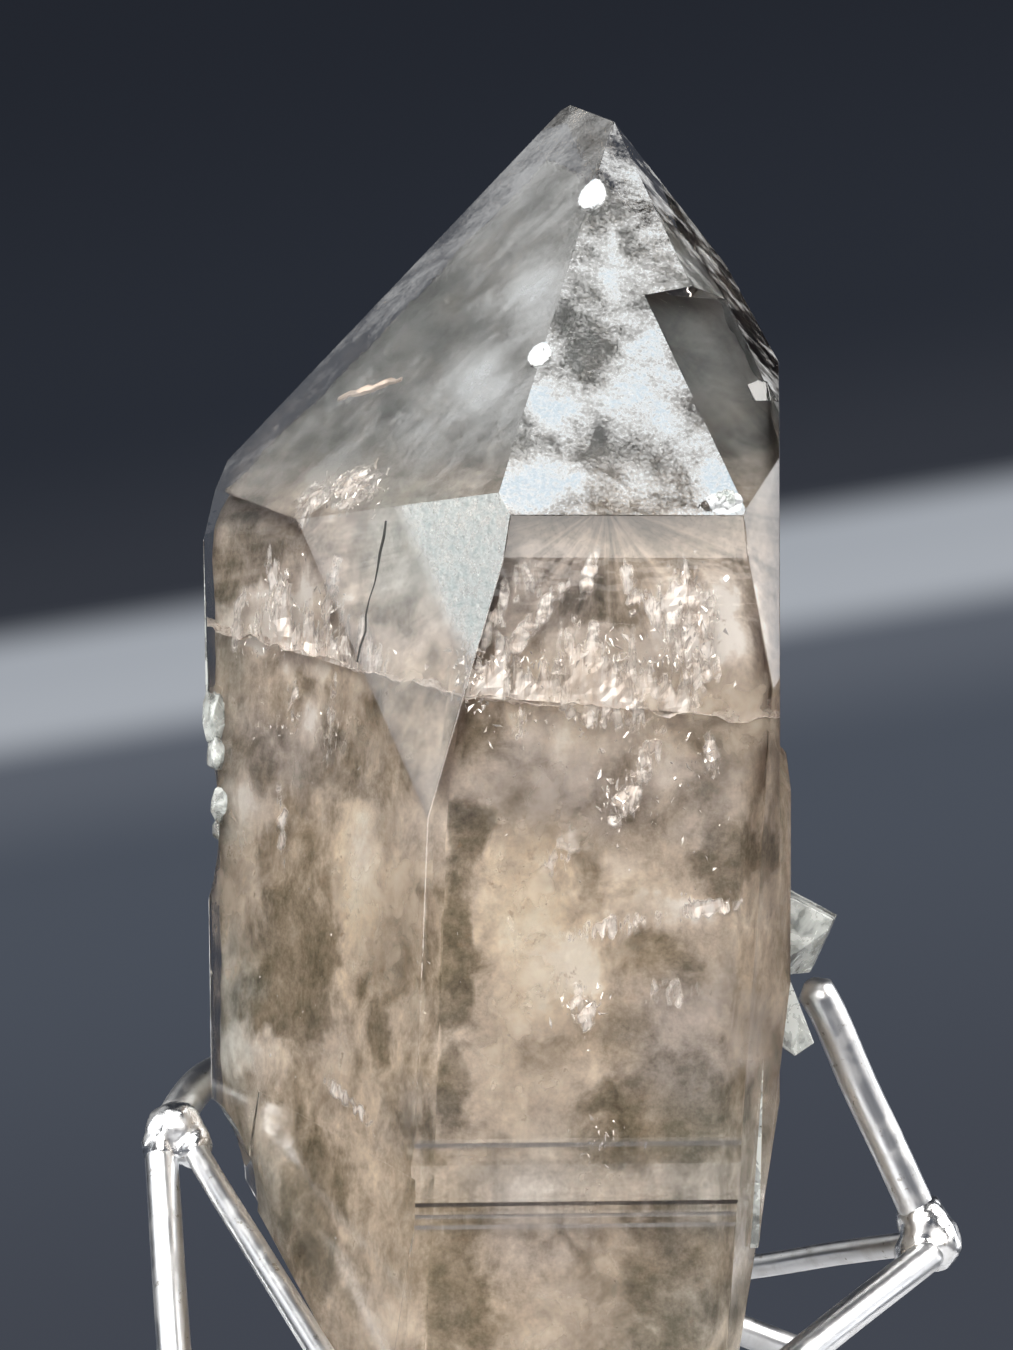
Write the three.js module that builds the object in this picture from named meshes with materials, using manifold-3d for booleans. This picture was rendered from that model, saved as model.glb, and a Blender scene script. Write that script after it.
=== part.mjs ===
// A smoky quartz crystal that stands in a small stand of soldered silver rods.
// Millimetres. +Z is up, +X is to the viewer's right and -Y is towards the viewer.
// Bearings are compass angles seen from above: 0 faces the viewer, +90 faces right, -90 faces left.

import * as THREE from "three";
import { ConvexGeometry } from "three/addons/geometries/ConvexGeometry.js";
import { mergeVertices } from "three/addons/utils/BufferGeometryUtils.js";
import Module from "manifold-3d";

const wasm = await Module();
wasm.setup();

// Driving dimensions of the crystal.
const TURN = 5; // bearing of the front prism face
const RHOMB_LEAN = 38.2; // a quartz end face leans this much back from the prism face below it
const FRONT_EDGE = [-6.7, -18.5, 35]; // on the upright edge between the front and the left prism face
const SHOULDER = [0.3, -17.4, 76.2]; // where the front end face starts
const FRONT_APEX = [8.7, 9.9, 109.9]; // the front end face's highest point
const BACK_APEX = [4.7, 15.8, 111.6];
const RIGHT_SIDE = [20.9, -14.8, 50]; // on the right side's face
const BASE_Z = 7.5; // the broken lower end
const GAP = 0.2; // between pieces that touch

// Driving dimensions of the stand.
const CLAW_RADIUS = 1.5;
const LEG_RADIUS = 1.35;
const BRACE_RADIUS = 1.0;
const FOOT_RADIUS = 2.0;
const FOOT_Z = 1.4; // height of a foot's centre, so that its underside is cut flat
const ROD_SIDES = 12;

const QUARTZ = new THREE.MeshStandardMaterial({ color: 0x8a7d72, roughness: 0.08, metalness: 0 });
const SILVER = new THREE.MeshStandardMaterial({ color: 0xc9ccd0, roughness: 0.25, metalness: 1 });

const radians = THREE.MathUtils.degToRad;
const vector = (point) => new THREE.Vector3(...point);

// Unit vector that faces a bearing and leans up by an angle.
function facing(bearing, lean) {
  const flat = Math.cos(radians(lean));
  return new THREE.Vector3(
    Math.sin(radians(bearing)) * flat,
    -Math.cos(radians(bearing)) * flat,
    Math.sin(radians(lean)),
  );
}

// A facet is the plane that faces a bearing, leans up, and passes through a point.
function facet(bearing, lean, point) {
  return new THREE.Plane().setFromNormalAndCoplanarPoint(facing(bearing, lean), vector(point));
}

// A geometry with its vertices shared, which is what makes it one closed surface.
function shared(geometry) {
  const bare = geometry.clone();
  bare.deleteAttribute("normal");
  bare.deleteAttribute("uv");
  return mergeVertices(bare, 1e-4);
}

// A closed geometry as a solid that can be joined and cut.
function solid(geometry) {
  const merged = shared(geometry);
  return new wasm.Manifold(
    new wasm.Mesh({
      numProp: 3,
      vertProperties: new Float32Array(merged.attributes.position.array),
      triVerts: new Uint32Array(merged.index.array),
    }),
  );
}

const joined = (solids) => solids.reduce((whole, next) => whole.add(next));
const without = (whole, cutters) => cutters.reduce((left, cutter) => left.subtract(cutter), whole);

// The point that three planes share, or null.
function meetingPoint(a, b, c) {
  const bc = new THREE.Vector3().crossVectors(b.normal, c.normal);
  const scale = a.normal.dot(bc);
  if (Math.abs(scale) < 1e-6) return null;
  const ca = new THREE.Vector3().crossVectors(c.normal, a.normal);
  const ab = new THREE.Vector3().crossVectors(a.normal, b.normal);
  return bc
    .multiplyScalar(-a.constant)
    .addScaledVector(ca, -b.constant)
    .addScaledVector(ab, -c.constant)
    .divideScalar(scale);
}

// The convex body inside a list of facets.
function convexSolid(facets) {
  const corners = [];
  const tolerance = 1e-4;
  for (let i = 0; i < facets.length; i++)
    for (let j = i + 1; j < facets.length; j++)
      for (let k = j + 1; k < facets.length; k++) {
        const corner = meetingPoint(facets[i], facets[j], facets[k]);
        if (!corner || facets.some((f) => f.distanceToPoint(corner) > tolerance)) continue;
        if (!corners.some((c) => c.distanceTo(corner) < 10 * tolerance)) corners.push(corner);
      }
  return solid(new ConvexGeometry(corners));
}

// Sets a geometry on a tilted face: its X runs across the face, its Y up the face and its Z out of it.
function onFace(geometry, bearing, lean, point) {
  const normal = facing(bearing, lean);
  const across = facing(bearing + 90, 0);
  const up = new THREE.Vector3().crossVectors(normal, across);
  return geometry.applyMatrix4(new THREE.Matrix4().makeBasis(across, up, normal).setPosition(...point));
}

// A box whose inner side lies in a tilted face, centred across a point, with the box's top edge at the point.
function stepCut(bearing, lean, point, width, height, roll = 0) {
  const thickness = 8;
  const box = new THREE.BoxGeometry(width, height, thickness);
  box.translate(0, -height / 2, thickness / 2);
  box.rotateZ(radians(roll));
  return solid(onFace(box, bearing, lean, point));
}

// A shallow V across a face, deepest at the point. It reaches down and up the face from there.
function groove(bearing, lean, point, width, depth, down, up) {
  const proud = 0.4; // how far the cutter stands out of the face
  const spread = 1 + proud / depth;
  const profile = new THREE.Shape([
    new THREE.Vector2(-depth, 0),
    new THREE.Vector2(proud, up * spread),
    new THREE.Vector2(proud, -down * spread),
  ]);
  const bar = new THREE.ExtrudeGeometry(profile, { depth: width, bevelEnabled: false });
  bar.translate(0, 0, -width / 2);
  bar.applyMatrix4(
    new THREE.Matrix4().makeBasis(
      new THREE.Vector3(0, 0, 1),
      new THREE.Vector3(0, 1, 0),
      new THREE.Vector3(-1, 0, 0),
    ),
  );
  return solid(onFace(bar, bearing, lean, point));
}

// A ball with an uneven skin, as a bead of solder or a broken surface has. Size is its radius along X, Y and Z.
function lump(centre, size, detail, unevenness, seed) {
  const ball = shared(new THREE.IcosahedronGeometry(1, detail));
  const at = ball.attributes.position;
  const v = new THREE.Vector3();
  for (let i = 0; i < at.count; i++) {
    v.fromBufferAttribute(at, i);
    const wave =
      Math.sin(5.1 * v.x + seed) * Math.cos(4.3 * v.y - 2 * seed) + 0.6 * Math.sin(7.7 * v.z + 3 * seed);
    v.multiplyScalar(1 + unevenness * wave).multiply(vector(size));
    at.setXYZ(i, v.x + centre[0], v.y + centre[1], v.z + centre[2]);
  }
  return solid(ball);
}

// The main crystal: prism faces, end faces, the small facets between them, and the taper to its lower end.
function mainCrystal() {
  const prism = [
    facet(TURN, 0, FRONT_EDGE),
    facet(TURN - 60, 2, FRONT_EDGE),
    facet(TURN + 60, -3.5, [20.3, -16.1, 62.9]),
    facet(86.6, 0, RIGHT_SIDE),
    facet(TURN + 120, 0, [21.8, 0, 50]),
    facet(TURN + 180, 0, [0, 17.2, 50]),
    facet(-112, -3.1, [-24.07, 6.2, 32]),
  ];
  const ends = [
    facet(TURN, RHOMB_LEAN, SHOULDER),
    facet(-45, RHOMB_LEAN, [-0.5, -16, 78.1]),
    facet(51, RHOMB_LEAN, FRONT_APEX),
    facet(110, 30, [19.4, 4.9, 95.3]),
    facet(TURN + 180, 36, BACK_APEX),
    facet(-110, 39.1, BACK_APEX),
  ];
  const corners = [
    facet(TURN, 8, [-6.7, -18.5, 72.9]),
    facet(-42.7, 12.2, [-6, -18.44, 53.1]),
    facet(57, 8.5, [20.3, -16.1, 62.9]),
    facet(-95, 16.3, [-23, 10.5, 81.8]),
  ];
  const taper = [
    facet(90, -10.3, [20.6, -8, 27.5]),
    facet(-85, -30, [-18.8, 0, 19.2]),
    facet(8, -38, [5, -17.3, 11.6]),
    facet(170, -22, [0, 17, 20]),
    facet(0, -90, [0, 0, BASE_Z]),
  ];
  return convexSolid([...prism, ...ends, ...corners, ...taper]);
}

// A second crystal grown alongside, which bulges out of the right side.
function rightGrowth() {
  const side = 22.15;
  return convexSolid([
    facet(TURN, 0, [0, -15, 50]),
    facet(TURN + 60, -1, [21.2, -10.5, 45]),
    facet(90, 0, [side, 0, 45]),
    facet(TURN + 120, 0, [side, 2, 45]),
    facet(TURN + 180, 0, [0, 14, 45]),
    facet(-90, 0, [4, 0, 45]),
    facet(TURN + 60, RHOMB_LEAN, [side, -9, 55]),
    facet(TURN + 120, RHOMB_LEAN, [side, 3, 53]),
    facet(90, -8, [side, 0, 40]),
    facet(0, -90, [0, 0, 20]),
  ]);
}

// A small crystal: a six-sided prism with a pointed end, its root buried in the main crystal.
function crystallet(root, bearing, lean, radius, length) {
  const apothem = radius * Math.cos(Math.PI / 6);
  const point = apothem / Math.tan(radians(RHOMB_LEAN));
  const corners = [new THREE.Vector3(0, 0, length)];
  for (let side = 0; side < 6; side++)
    for (const height of [0, length - point]) {
      const angle = (side * Math.PI) / 3;
      corners.push(new THREE.Vector3(radius * Math.cos(angle), radius * Math.sin(angle), height));
    }
  return solid(onFace(new ConvexGeometry(corners), bearing, lean, root));
}

// The two small crystals that stand out of the right edge, one over the other.
function sideCrystals() {
  const upper = convexSolid([
    facet(80, 62, [22.5, -2, 46.7]),
    facet(12, 8, [24, -5, 44]),
    facet(50, -40, [24.9, -3.5, 42.5]),
    facet(82, -25, [26, -3, 44.7]),
    facet(175, 0, [22, 0.5, 44]),
    facet(-90, 0, [17, 0, 44]),
    facet(0, -90, [22, 0, 40.3]),
  ]);
  const lower = convexSolid([
    facet(88, 21, [24.2, -2, 35.4]),
    facet(20, 12, [23.5, -4.4, 36]),
    facet(85, -57, [22.7, -2, 33.8]),
    facet(-85, -54, [22.7, -2, 33.8]),
    facet(175, 0, [22, -0.2, 36]),
    facet(-90, 0, [17, 0, 36]),
  ]);
  return [upper, lower];
}

// Small crystals and scales that grew on the edges of the main one.
function growths() {
  const backCrystals = [
    crystallet([13, 11, 47], 140, 20, 2.2, 5.6),
    crystallet([10.6, 12.6, 51.5], 150, 48, 1.7, 5.4),
    crystallet([16, 8.4, 41.5], 128, -8, 1.6, 4.8),
  ];
  const scales = [
    lump([-23.9, 7, 60.6], [1.0, 1.5, 2.2], 1, 0.16, 1),
    lump([-23.6, 7, 57.6], [0.9, 1.4, 1.5], 1, 0.18, 2),
    lump([-23.1, 7, 53.4], [1.2, 1.5, 1.6], 1, 0.16, 3),
    lump([-23.2, 7.4, 51.4], [0.9, 1.1, 1.0], 1, 0.18, 4),
  ];
  const grains = [0, 1, 2, 3, 4, 5].map((i) =>
    lump([15.4 + 0.42 * i, -15.6 + 0.12 * i, 76.9 + 0.25 * (i % 3)], [0.6, 0.5, 0.5], 1, 0.15, i),
  );
  return [...sideCrystals(), ...backCrystals, ...scales, ...grains];
}

// What is missing from the main crystal: growth ledges, the shell-shaped break at the lower left, chips on the
// long ridge, the dent in the left edge and the broken underside.
function cuts() {
  const ledges = [
    stepCut(28, 40.7, [13.5, -0.9, 94.2], 22, 34),
    stepCut(36, 20, [19.7, -4.42, 87.2], 2.1, 1.95),
    stepCut(TURN - 60, 2, [-13.05, -9.43, 28.2], 24, 40, -12),
  ];
  const breaks = [
    lump([-29.4, 4, 20.9], [10.3, 11, 10.3], 4, 0.015, 2),
    lump([-43.3, 8, 52], [20, 20, 20], 6, 0.002, 1),
    lump([6.7, 3.4, 103.8], [1.7, 1.9, 2.3], 3, 0.04, 3),
    lump([2.3, -7.9, 89.6], [1.5, 1.5, 1.7], 3, 0.04, 4),
    lump([6, 9, 1], [10, 8, 9.5], 4, 0.03, 5),
    lump([8, -8, 1], [7.5, 7, 8.5], 4, 0.03, 6),
    lump([-7, 0, 2], [6, 9, 7.5], 4, 0.03, 7),
  ];
  return [...ledges, ...breaks, ...striations()];
}

// Level growth lines across a prism face, at distances up the face from the point.
function levelLines(bearing, lean, point, width, distances) {
  const up = new THREE.Vector3().crossVectors(facing(bearing, lean), facing(bearing + 90, 0));
  return distances.map((distance, i) => {
    const at = vector(point).addScaledVector(up, distance).toArray();
    const reach = 0.8 + 0.5 * ((3 * i) % 4);
    return groove(bearing, lean, at, width, 0.22, reach, 0.35);
  });
}

// Level growth lines. Those low on the front face each have their own height, depth, and reach down and up.
function striations() {
  const frontLines = [
    [26.9, 0.3, 2.5, 1.3],
    [28.6, 0.1, 0.35, 0.3],
    [24.1, 0.12, 0.3, 0.35],
    [23.2, 0.09, 0.25, 0.3],
    [22.4, 0.07, 0.3, 0.4],
  ];
  return [
    ...frontLines.map(([z, depth, down, up]) => groove(TURN, 0, [7, -17.3, z], 40, depth, down, up)),
    ...levelLines(TURN + 120, 0, [13.5, 11.86, 20], 16, [4, 9.5, 16, 40, 48, 54.5]),
    ...levelLines(TURN + 180, 0, [-2, 17.02, 20], 19, [7, 14, 25, 32.5, 46, 51]),
    ...levelLines(-112, -3.1, [-21, 13.8, 32], 7, [7, 14.5, 31, 38]),
  ];
}

function crystal() {
  const body = without(mainCrystal().add(rightGrowth()), cuts());
  return joined([body, ...growths()]);
}

// The stand's joints: each is a few beads of solder, given as centre, size and seed.
const JOINTS = {
  knee_left: [
    [[-26.8, 3, 27.6], [2.4, 2.2, 2.0], 1],
    [[-27.7, 2.4, 25.9], [1.7, 1.9, 1.9], 2],
    [[-25.3, 2.4, 26.1], [1.7, 1.7, 1.8], 3],
  ],
  knee_right: [
    [[33.7, 4, 19.6], [2.2, 2.2, 2.4], 4],
    [[35.0, 3.6, 18.2], [1.8, 2.0, 2.3], 5],
    [[33.2, 3.6, 17.6], [1.9, 2.0, 1.7], 6],
  ],
  knee_back: [
    [[10.5, 35, 10.4], [2.4, 2.3, 2.4], 7],
    [[11.6, 34.4, 9.3], [1.7, 1.8, 1.6], 8],
  ],
};
const FEET = {
  foot_left: [[-24.8, -14], [-23.4, -7.5]],
  foot_front: [[-4.5, -36], [3.5, -36]],
  foot_back: [[30.7, 39], [38, 39]],
};

function joint(beads, growth = 0) {
  return joined(beads.map(([at, size, seed]) => lump(at, size.map((r) => r + growth), 2, 0.035, seed)));
}

// A short bar with rounded ends that lies on the ground, flat underneath.
function foot([start, end], growth = 0) {
  const a = vector([...start, FOOT_Z]);
  const b = vector([...end, FOOT_Z]);
  const radius = FOOT_RADIUS + growth;
  const ends = [a, b].map((at, i) => lump(at.toArray(), [radius, radius, radius], 2, 0.02, i + 1));
  const bar = rod(a.toArray(), b.toArray(), 0.75 * radius);
  const below = new THREE.BoxGeometry(60, 60, 20).translate(a.x, a.y, -10);
  return joined([...ends, bar]).subtract(solid(below));
}

// A straight round rod from point to point.
function rod(start, end, radius) {
  const a = vector(start);
  const b = vector(end);
  const tube = new THREE.CylinderGeometry(radius, radius, a.distanceTo(b), ROD_SIDES);
  const along = b.clone().sub(a).normalize();
  tube.applyQuaternion(new THREE.Quaternion().setFromUnitVectors(new THREE.Vector3(0, 1, 0), along));
  tube.translate(...a.add(b).multiplyScalar(0.5));
  return solid(tube);
}

// A bent rod through a few points, with a round bead on its far end.
function claw(points, radius) {
  const path = new THREE.CatmullRomCurve3(points.map(vector), false, "centripetal");
  const section = new THREE.Shape().absarc(0, 0, radius, 0, 2 * Math.PI);
  const tube = new THREE.ExtrudeGeometry(section, {
    steps: 4 * points.length,
    curveSegments: ROD_SIDES / 2,
    extrudePath: path,
    bevelEnabled: false,
  });
  const bead = lump(points.at(-1), [radius, radius, radius], 1, 0.03, 3);
  return solid(tube).add(bead);
}

// Every named mesh hangs in this group, which is then set down on its own bounding box's bottom centre.
const object = new THREE.Group();

function add(name, made, material) {
  const mesh = made.getMesh();
  const indexed = new THREE.BufferGeometry();
  indexed.setAttribute("position", new THREE.BufferAttribute(new Float32Array(mesh.vertProperties), 3));
  indexed.setIndex(new THREE.BufferAttribute(new Uint32Array(mesh.triVerts), 1));
  const faceted = indexed.toNonIndexed();
  faceted.computeVertexNormals();
  const piece = new THREE.Mesh(faceted, material);
  piece.name = name;
  object.add(piece);
}

function buildStand() {
  const clearances = [];
  for (const [name, beads] of Object.entries(JOINTS)) {
    add(name, joint(beads), SILVER);
    clearances.push(joint(beads, GAP));
  }
  for (const [name, ends] of Object.entries(FEET)) {
    add(name, foot(ends), SILVER);
    clearances.push(foot(ends, GAP));
  }
  const legs = {
    leg_left: [[-27.9, 2.6, 26.5], [-24.8, -14, FOOT_Z]],
    leg_right: [[34.6, 3.4, 17.6], [3.5, -36, FOOT_Z]],
    leg_back: [[11, 34.6, 9.8], [30.7, 39, FOOT_Z]],
  };
  const braces = {
    brace_left: [[-25.5, 2.6, 26.3], [-4.5, -36, FOOT_Z]],
    brace_right: [[33.4, 4.6, 18], [10.5, 35, 10]],
    brace_back: [[10, 34.4, 10], [-23.4, -7.5, FOOT_Z]],
  };
  const claws = {
    claw_left: [[-27.2, 2.8, 27.4], [-26.2, 6.4, 29.4], [-25.2, 10, 30.6], [-23.7, 13.4, 31]],
    claw_right: [[34, 4, 19], [31, 3.4, 25.6], [28.2, 2.8, 31.6], [25.3, 2.2, 38.2], [24.3, 1.9, 39.4]],
    claw_back: [[10.4, 34.6, 10.6], [8.6, 28, 20], [7.2, 22.9, 29], [6.6, 19.6, 32.4]],
  };
  for (const [name, [start, end]] of Object.entries(legs))
    add(name, without(rod(start, end, LEG_RADIUS), clearances), SILVER);
  for (const [name, [start, end]] of Object.entries(braces))
    add(name, without(rod(start, end, BRACE_RADIUS), clearances), SILVER);
  for (const [name, points] of Object.entries(claws))
    add(name, without(claw(points, CLAW_RADIUS), clearances), SILVER);
}

add("crystal", crystal(), QUARTZ);
buildStand();

const box = new THREE.Box3().setFromObject(object);
const middle = box.getCenter(new THREE.Vector3());
object.position.set(-middle.x, -middle.y, -box.min.z);

export default object;
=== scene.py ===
"""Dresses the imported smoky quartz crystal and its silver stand, and sets a plain studio round them.

Metres. +Z is up, +X is to the viewer's right and -Y is towards the viewer. Places are given as in the part's
source, and put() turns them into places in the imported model's frame.
"""

import logging
import math
import random
from dataclasses import dataclass, field
from enum import Enum, IntEnum
from typing import Callable, Iterable, Sequence

import bmesh
import bpy
from mathutils import Matrix, Vector, noise

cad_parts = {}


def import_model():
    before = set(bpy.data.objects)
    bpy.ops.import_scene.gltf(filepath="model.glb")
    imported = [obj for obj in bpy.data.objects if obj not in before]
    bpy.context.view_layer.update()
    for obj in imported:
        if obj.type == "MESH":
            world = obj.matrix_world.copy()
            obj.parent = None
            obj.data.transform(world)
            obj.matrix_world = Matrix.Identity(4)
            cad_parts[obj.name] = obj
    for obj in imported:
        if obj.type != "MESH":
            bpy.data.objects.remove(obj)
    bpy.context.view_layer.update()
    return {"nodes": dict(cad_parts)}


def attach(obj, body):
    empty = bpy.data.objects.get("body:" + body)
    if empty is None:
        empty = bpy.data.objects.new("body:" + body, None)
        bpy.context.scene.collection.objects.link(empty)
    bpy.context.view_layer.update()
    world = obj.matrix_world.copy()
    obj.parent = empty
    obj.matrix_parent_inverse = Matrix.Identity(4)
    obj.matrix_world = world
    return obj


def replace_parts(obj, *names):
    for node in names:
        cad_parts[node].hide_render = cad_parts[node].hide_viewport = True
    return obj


log = logging.getLogger("smoky_quartz")

MM = 0.001
SOURCE_ORIGIN = Vector((-5.2803, -1.4933, 0.0)) * MM
ROOT_BODY = "root"
NOISE_SEED = 7
QUARTZ_IOR = 1.544
STRENGTH = "crack_strength"
LARGE_PATCHES = "large_patches"

Socket = bpy.types.NodeSocket
Material = bpy.types.Material
Shape = bmesh.types.BMesh
Colour = tuple[float, float, float]
Place = tuple[float, float, float]
Scale = tuple[tuple[float, Colour], ...]


def put(x: float, y: float, z: float) -> Vector:
    """The place in the model's frame of a point given in the source's millimetres."""
    return Vector((x, y, z)) * MM + SOURCE_ORIGIN


def facing(bearing: float, lean: float) -> Vector:
    """The unit vector that faces a compass bearing and leans up.

    Args:
        bearing: Degrees seen from above. 0 faces the viewer and +90 faces right.
        lean: Degrees above level.

    Returns:
        The direction.
    """
    turn, rise = math.radians(bearing), math.radians(lean)
    flat = math.cos(rise)
    return Vector((math.sin(turn) * flat, -math.cos(turn) * flat, math.sin(rise)))


class Face(Enum):
    """The crystal's named faces, each with the bearing and the lean that its source gives it."""

    FRONT_END = (5.0, 38.2)
    LEFT_END = (-45.0, 38.2)
    RIGHT_END = (51.0, 38.2)
    STEP = (28.0, 40.7)
    UPPER_RIGHT = (110.0, 30.0)
    BACK_END = (185.0, 36.0)
    BACK_LEFT_END = (-110.0, 39.1)
    BAND = (5.0, 8.0)
    CORNER = (-42.7, 12.2)
    RIGHT_CORNER = (57.0, 8.5)
    LEFT_CORNER = (-95.0, 16.3)
    FRONT = (5.0, 0.0)
    LEFT = (-55.0, 2.0)
    RIGHT = (65.0, -3.5)
    RIGHT_SIDE = (86.6, 0.0)
    RIGHT_BACK = (125.0, 0.0)
    BACK = (185.0, 0.0)
    BACK_LEFT = (-112.0, -3.1)
    TAPER_RIGHT = (90.0, -10.3)
    TAPER_LEFT = (-85.0, -30.0)
    TAPER_FRONT = (8.0, -38.0)
    TAPER_BACK = (170.0, -22.0)

    @property
    def direction(self) -> Vector:
        """The way the face looks."""
        return facing(*self.value)

    @property
    def attribute(self) -> str:
        """The name of the face attribute that is 1 on this face."""
        return "on_" + self.name.lower()


MASKED_FACES = (Face.FRONT_END, Face.LEFT_END, Face.RIGHT_END, Face.CORNER, Face.RIGHT_SIDE)
EDGE_FOOT = put(-6.7, -18.5, 35)
EDGE_ACROSS = (Face.FRONT.direction - Face.LEFT.direction).normalized()


class Field:
    """A value that varies over a piece: a node's output, whose sums and products add Math nodes."""

    def __init__(self, sheet: "Sheet", socket: Socket) -> None:
        """Keeps the output and the sheet that it is on."""
        self.sheet = sheet
        self.socket = socket

    def math(self, kind: str, other: object, clamp: bool = False) -> "Field":
        """A Math node of the given kind on this value and another."""
        made = self.sheet.node("ShaderNodeMath", operation=kind, use_clamp=clamp)
        self.sheet.feed(made.inputs[0], self)
        self.sheet.feed(made.inputs[1], other)
        return Field(self.sheet, made.outputs[0])

    def __add__(self, other: object) -> "Field":
        """The sum of two values."""
        return self.math("ADD", other)

    def __sub__(self, other: object) -> "Field":
        """The difference of two values."""
        return self.math("SUBTRACT", other)

    def __mul__(self, other: object) -> "Field":
        """The product of two values."""
        return self.math("MULTIPLY", other)

    def ramp(self, low: float, high: float, start: float = 0.0, end: float = 1.0) -> "Field":
        """A smooth step from start, where the value is low, to end, where it is high."""
        made = self.sheet.node("ShaderNodeMapRange", interpolation_type="SMOOTHSTEP")
        for name, number in (("From Min", low), ("From Max", high), ("To Min", start), ("To Max", end)):
            made.inputs[name].default_value = number
        self.sheet.feed(made.inputs["Value"], self)
        return Field(self.sheet, made.outputs["Result"])

    def blend(self, first: object, second: object) -> "Field":
        """A colour between two colours, by this value."""
        return self.mix("RGBA", 6, 2, first, second)

    def between(self, first: object, second: object) -> "Field":
        """A number between two numbers, by this value."""
        return self.mix("FLOAT", 2, 0, first, second)

    def mix(self, kind: str, entry: int, result: int, first: object, second: object) -> "Field":
        """A Mix node by this value, whose inputs of a kind start at an entry."""
        made = self.sheet.node("ShaderNodeMix", data_type=kind)
        self.sheet.feed(made.inputs["Factor"], self)
        self.sheet.feed(made.inputs[entry], first)
        self.sheet.feed(made.inputs[entry + 1], second)
        return Field(self.sheet, made.outputs[result])

    def scale(self, stops: Scale) -> "Field":
        """A colour read off a scale of stops, each a place from 0 to 1 with its colour."""
        made = self.sheet.node("ShaderNodeValToRGB")
        marks = made.color_ramp.elements
        for place, _ in stops[1:-1]:
            marks.new(place)
        for mark, (place, colour) in zip(marks, stops):
            mark.position = place
            mark.color = (*colour, 1.0)
        self.sheet.feed(made.inputs["Fac"], self)
        return Field(self.sheet, made.outputs["Color"])


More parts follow.
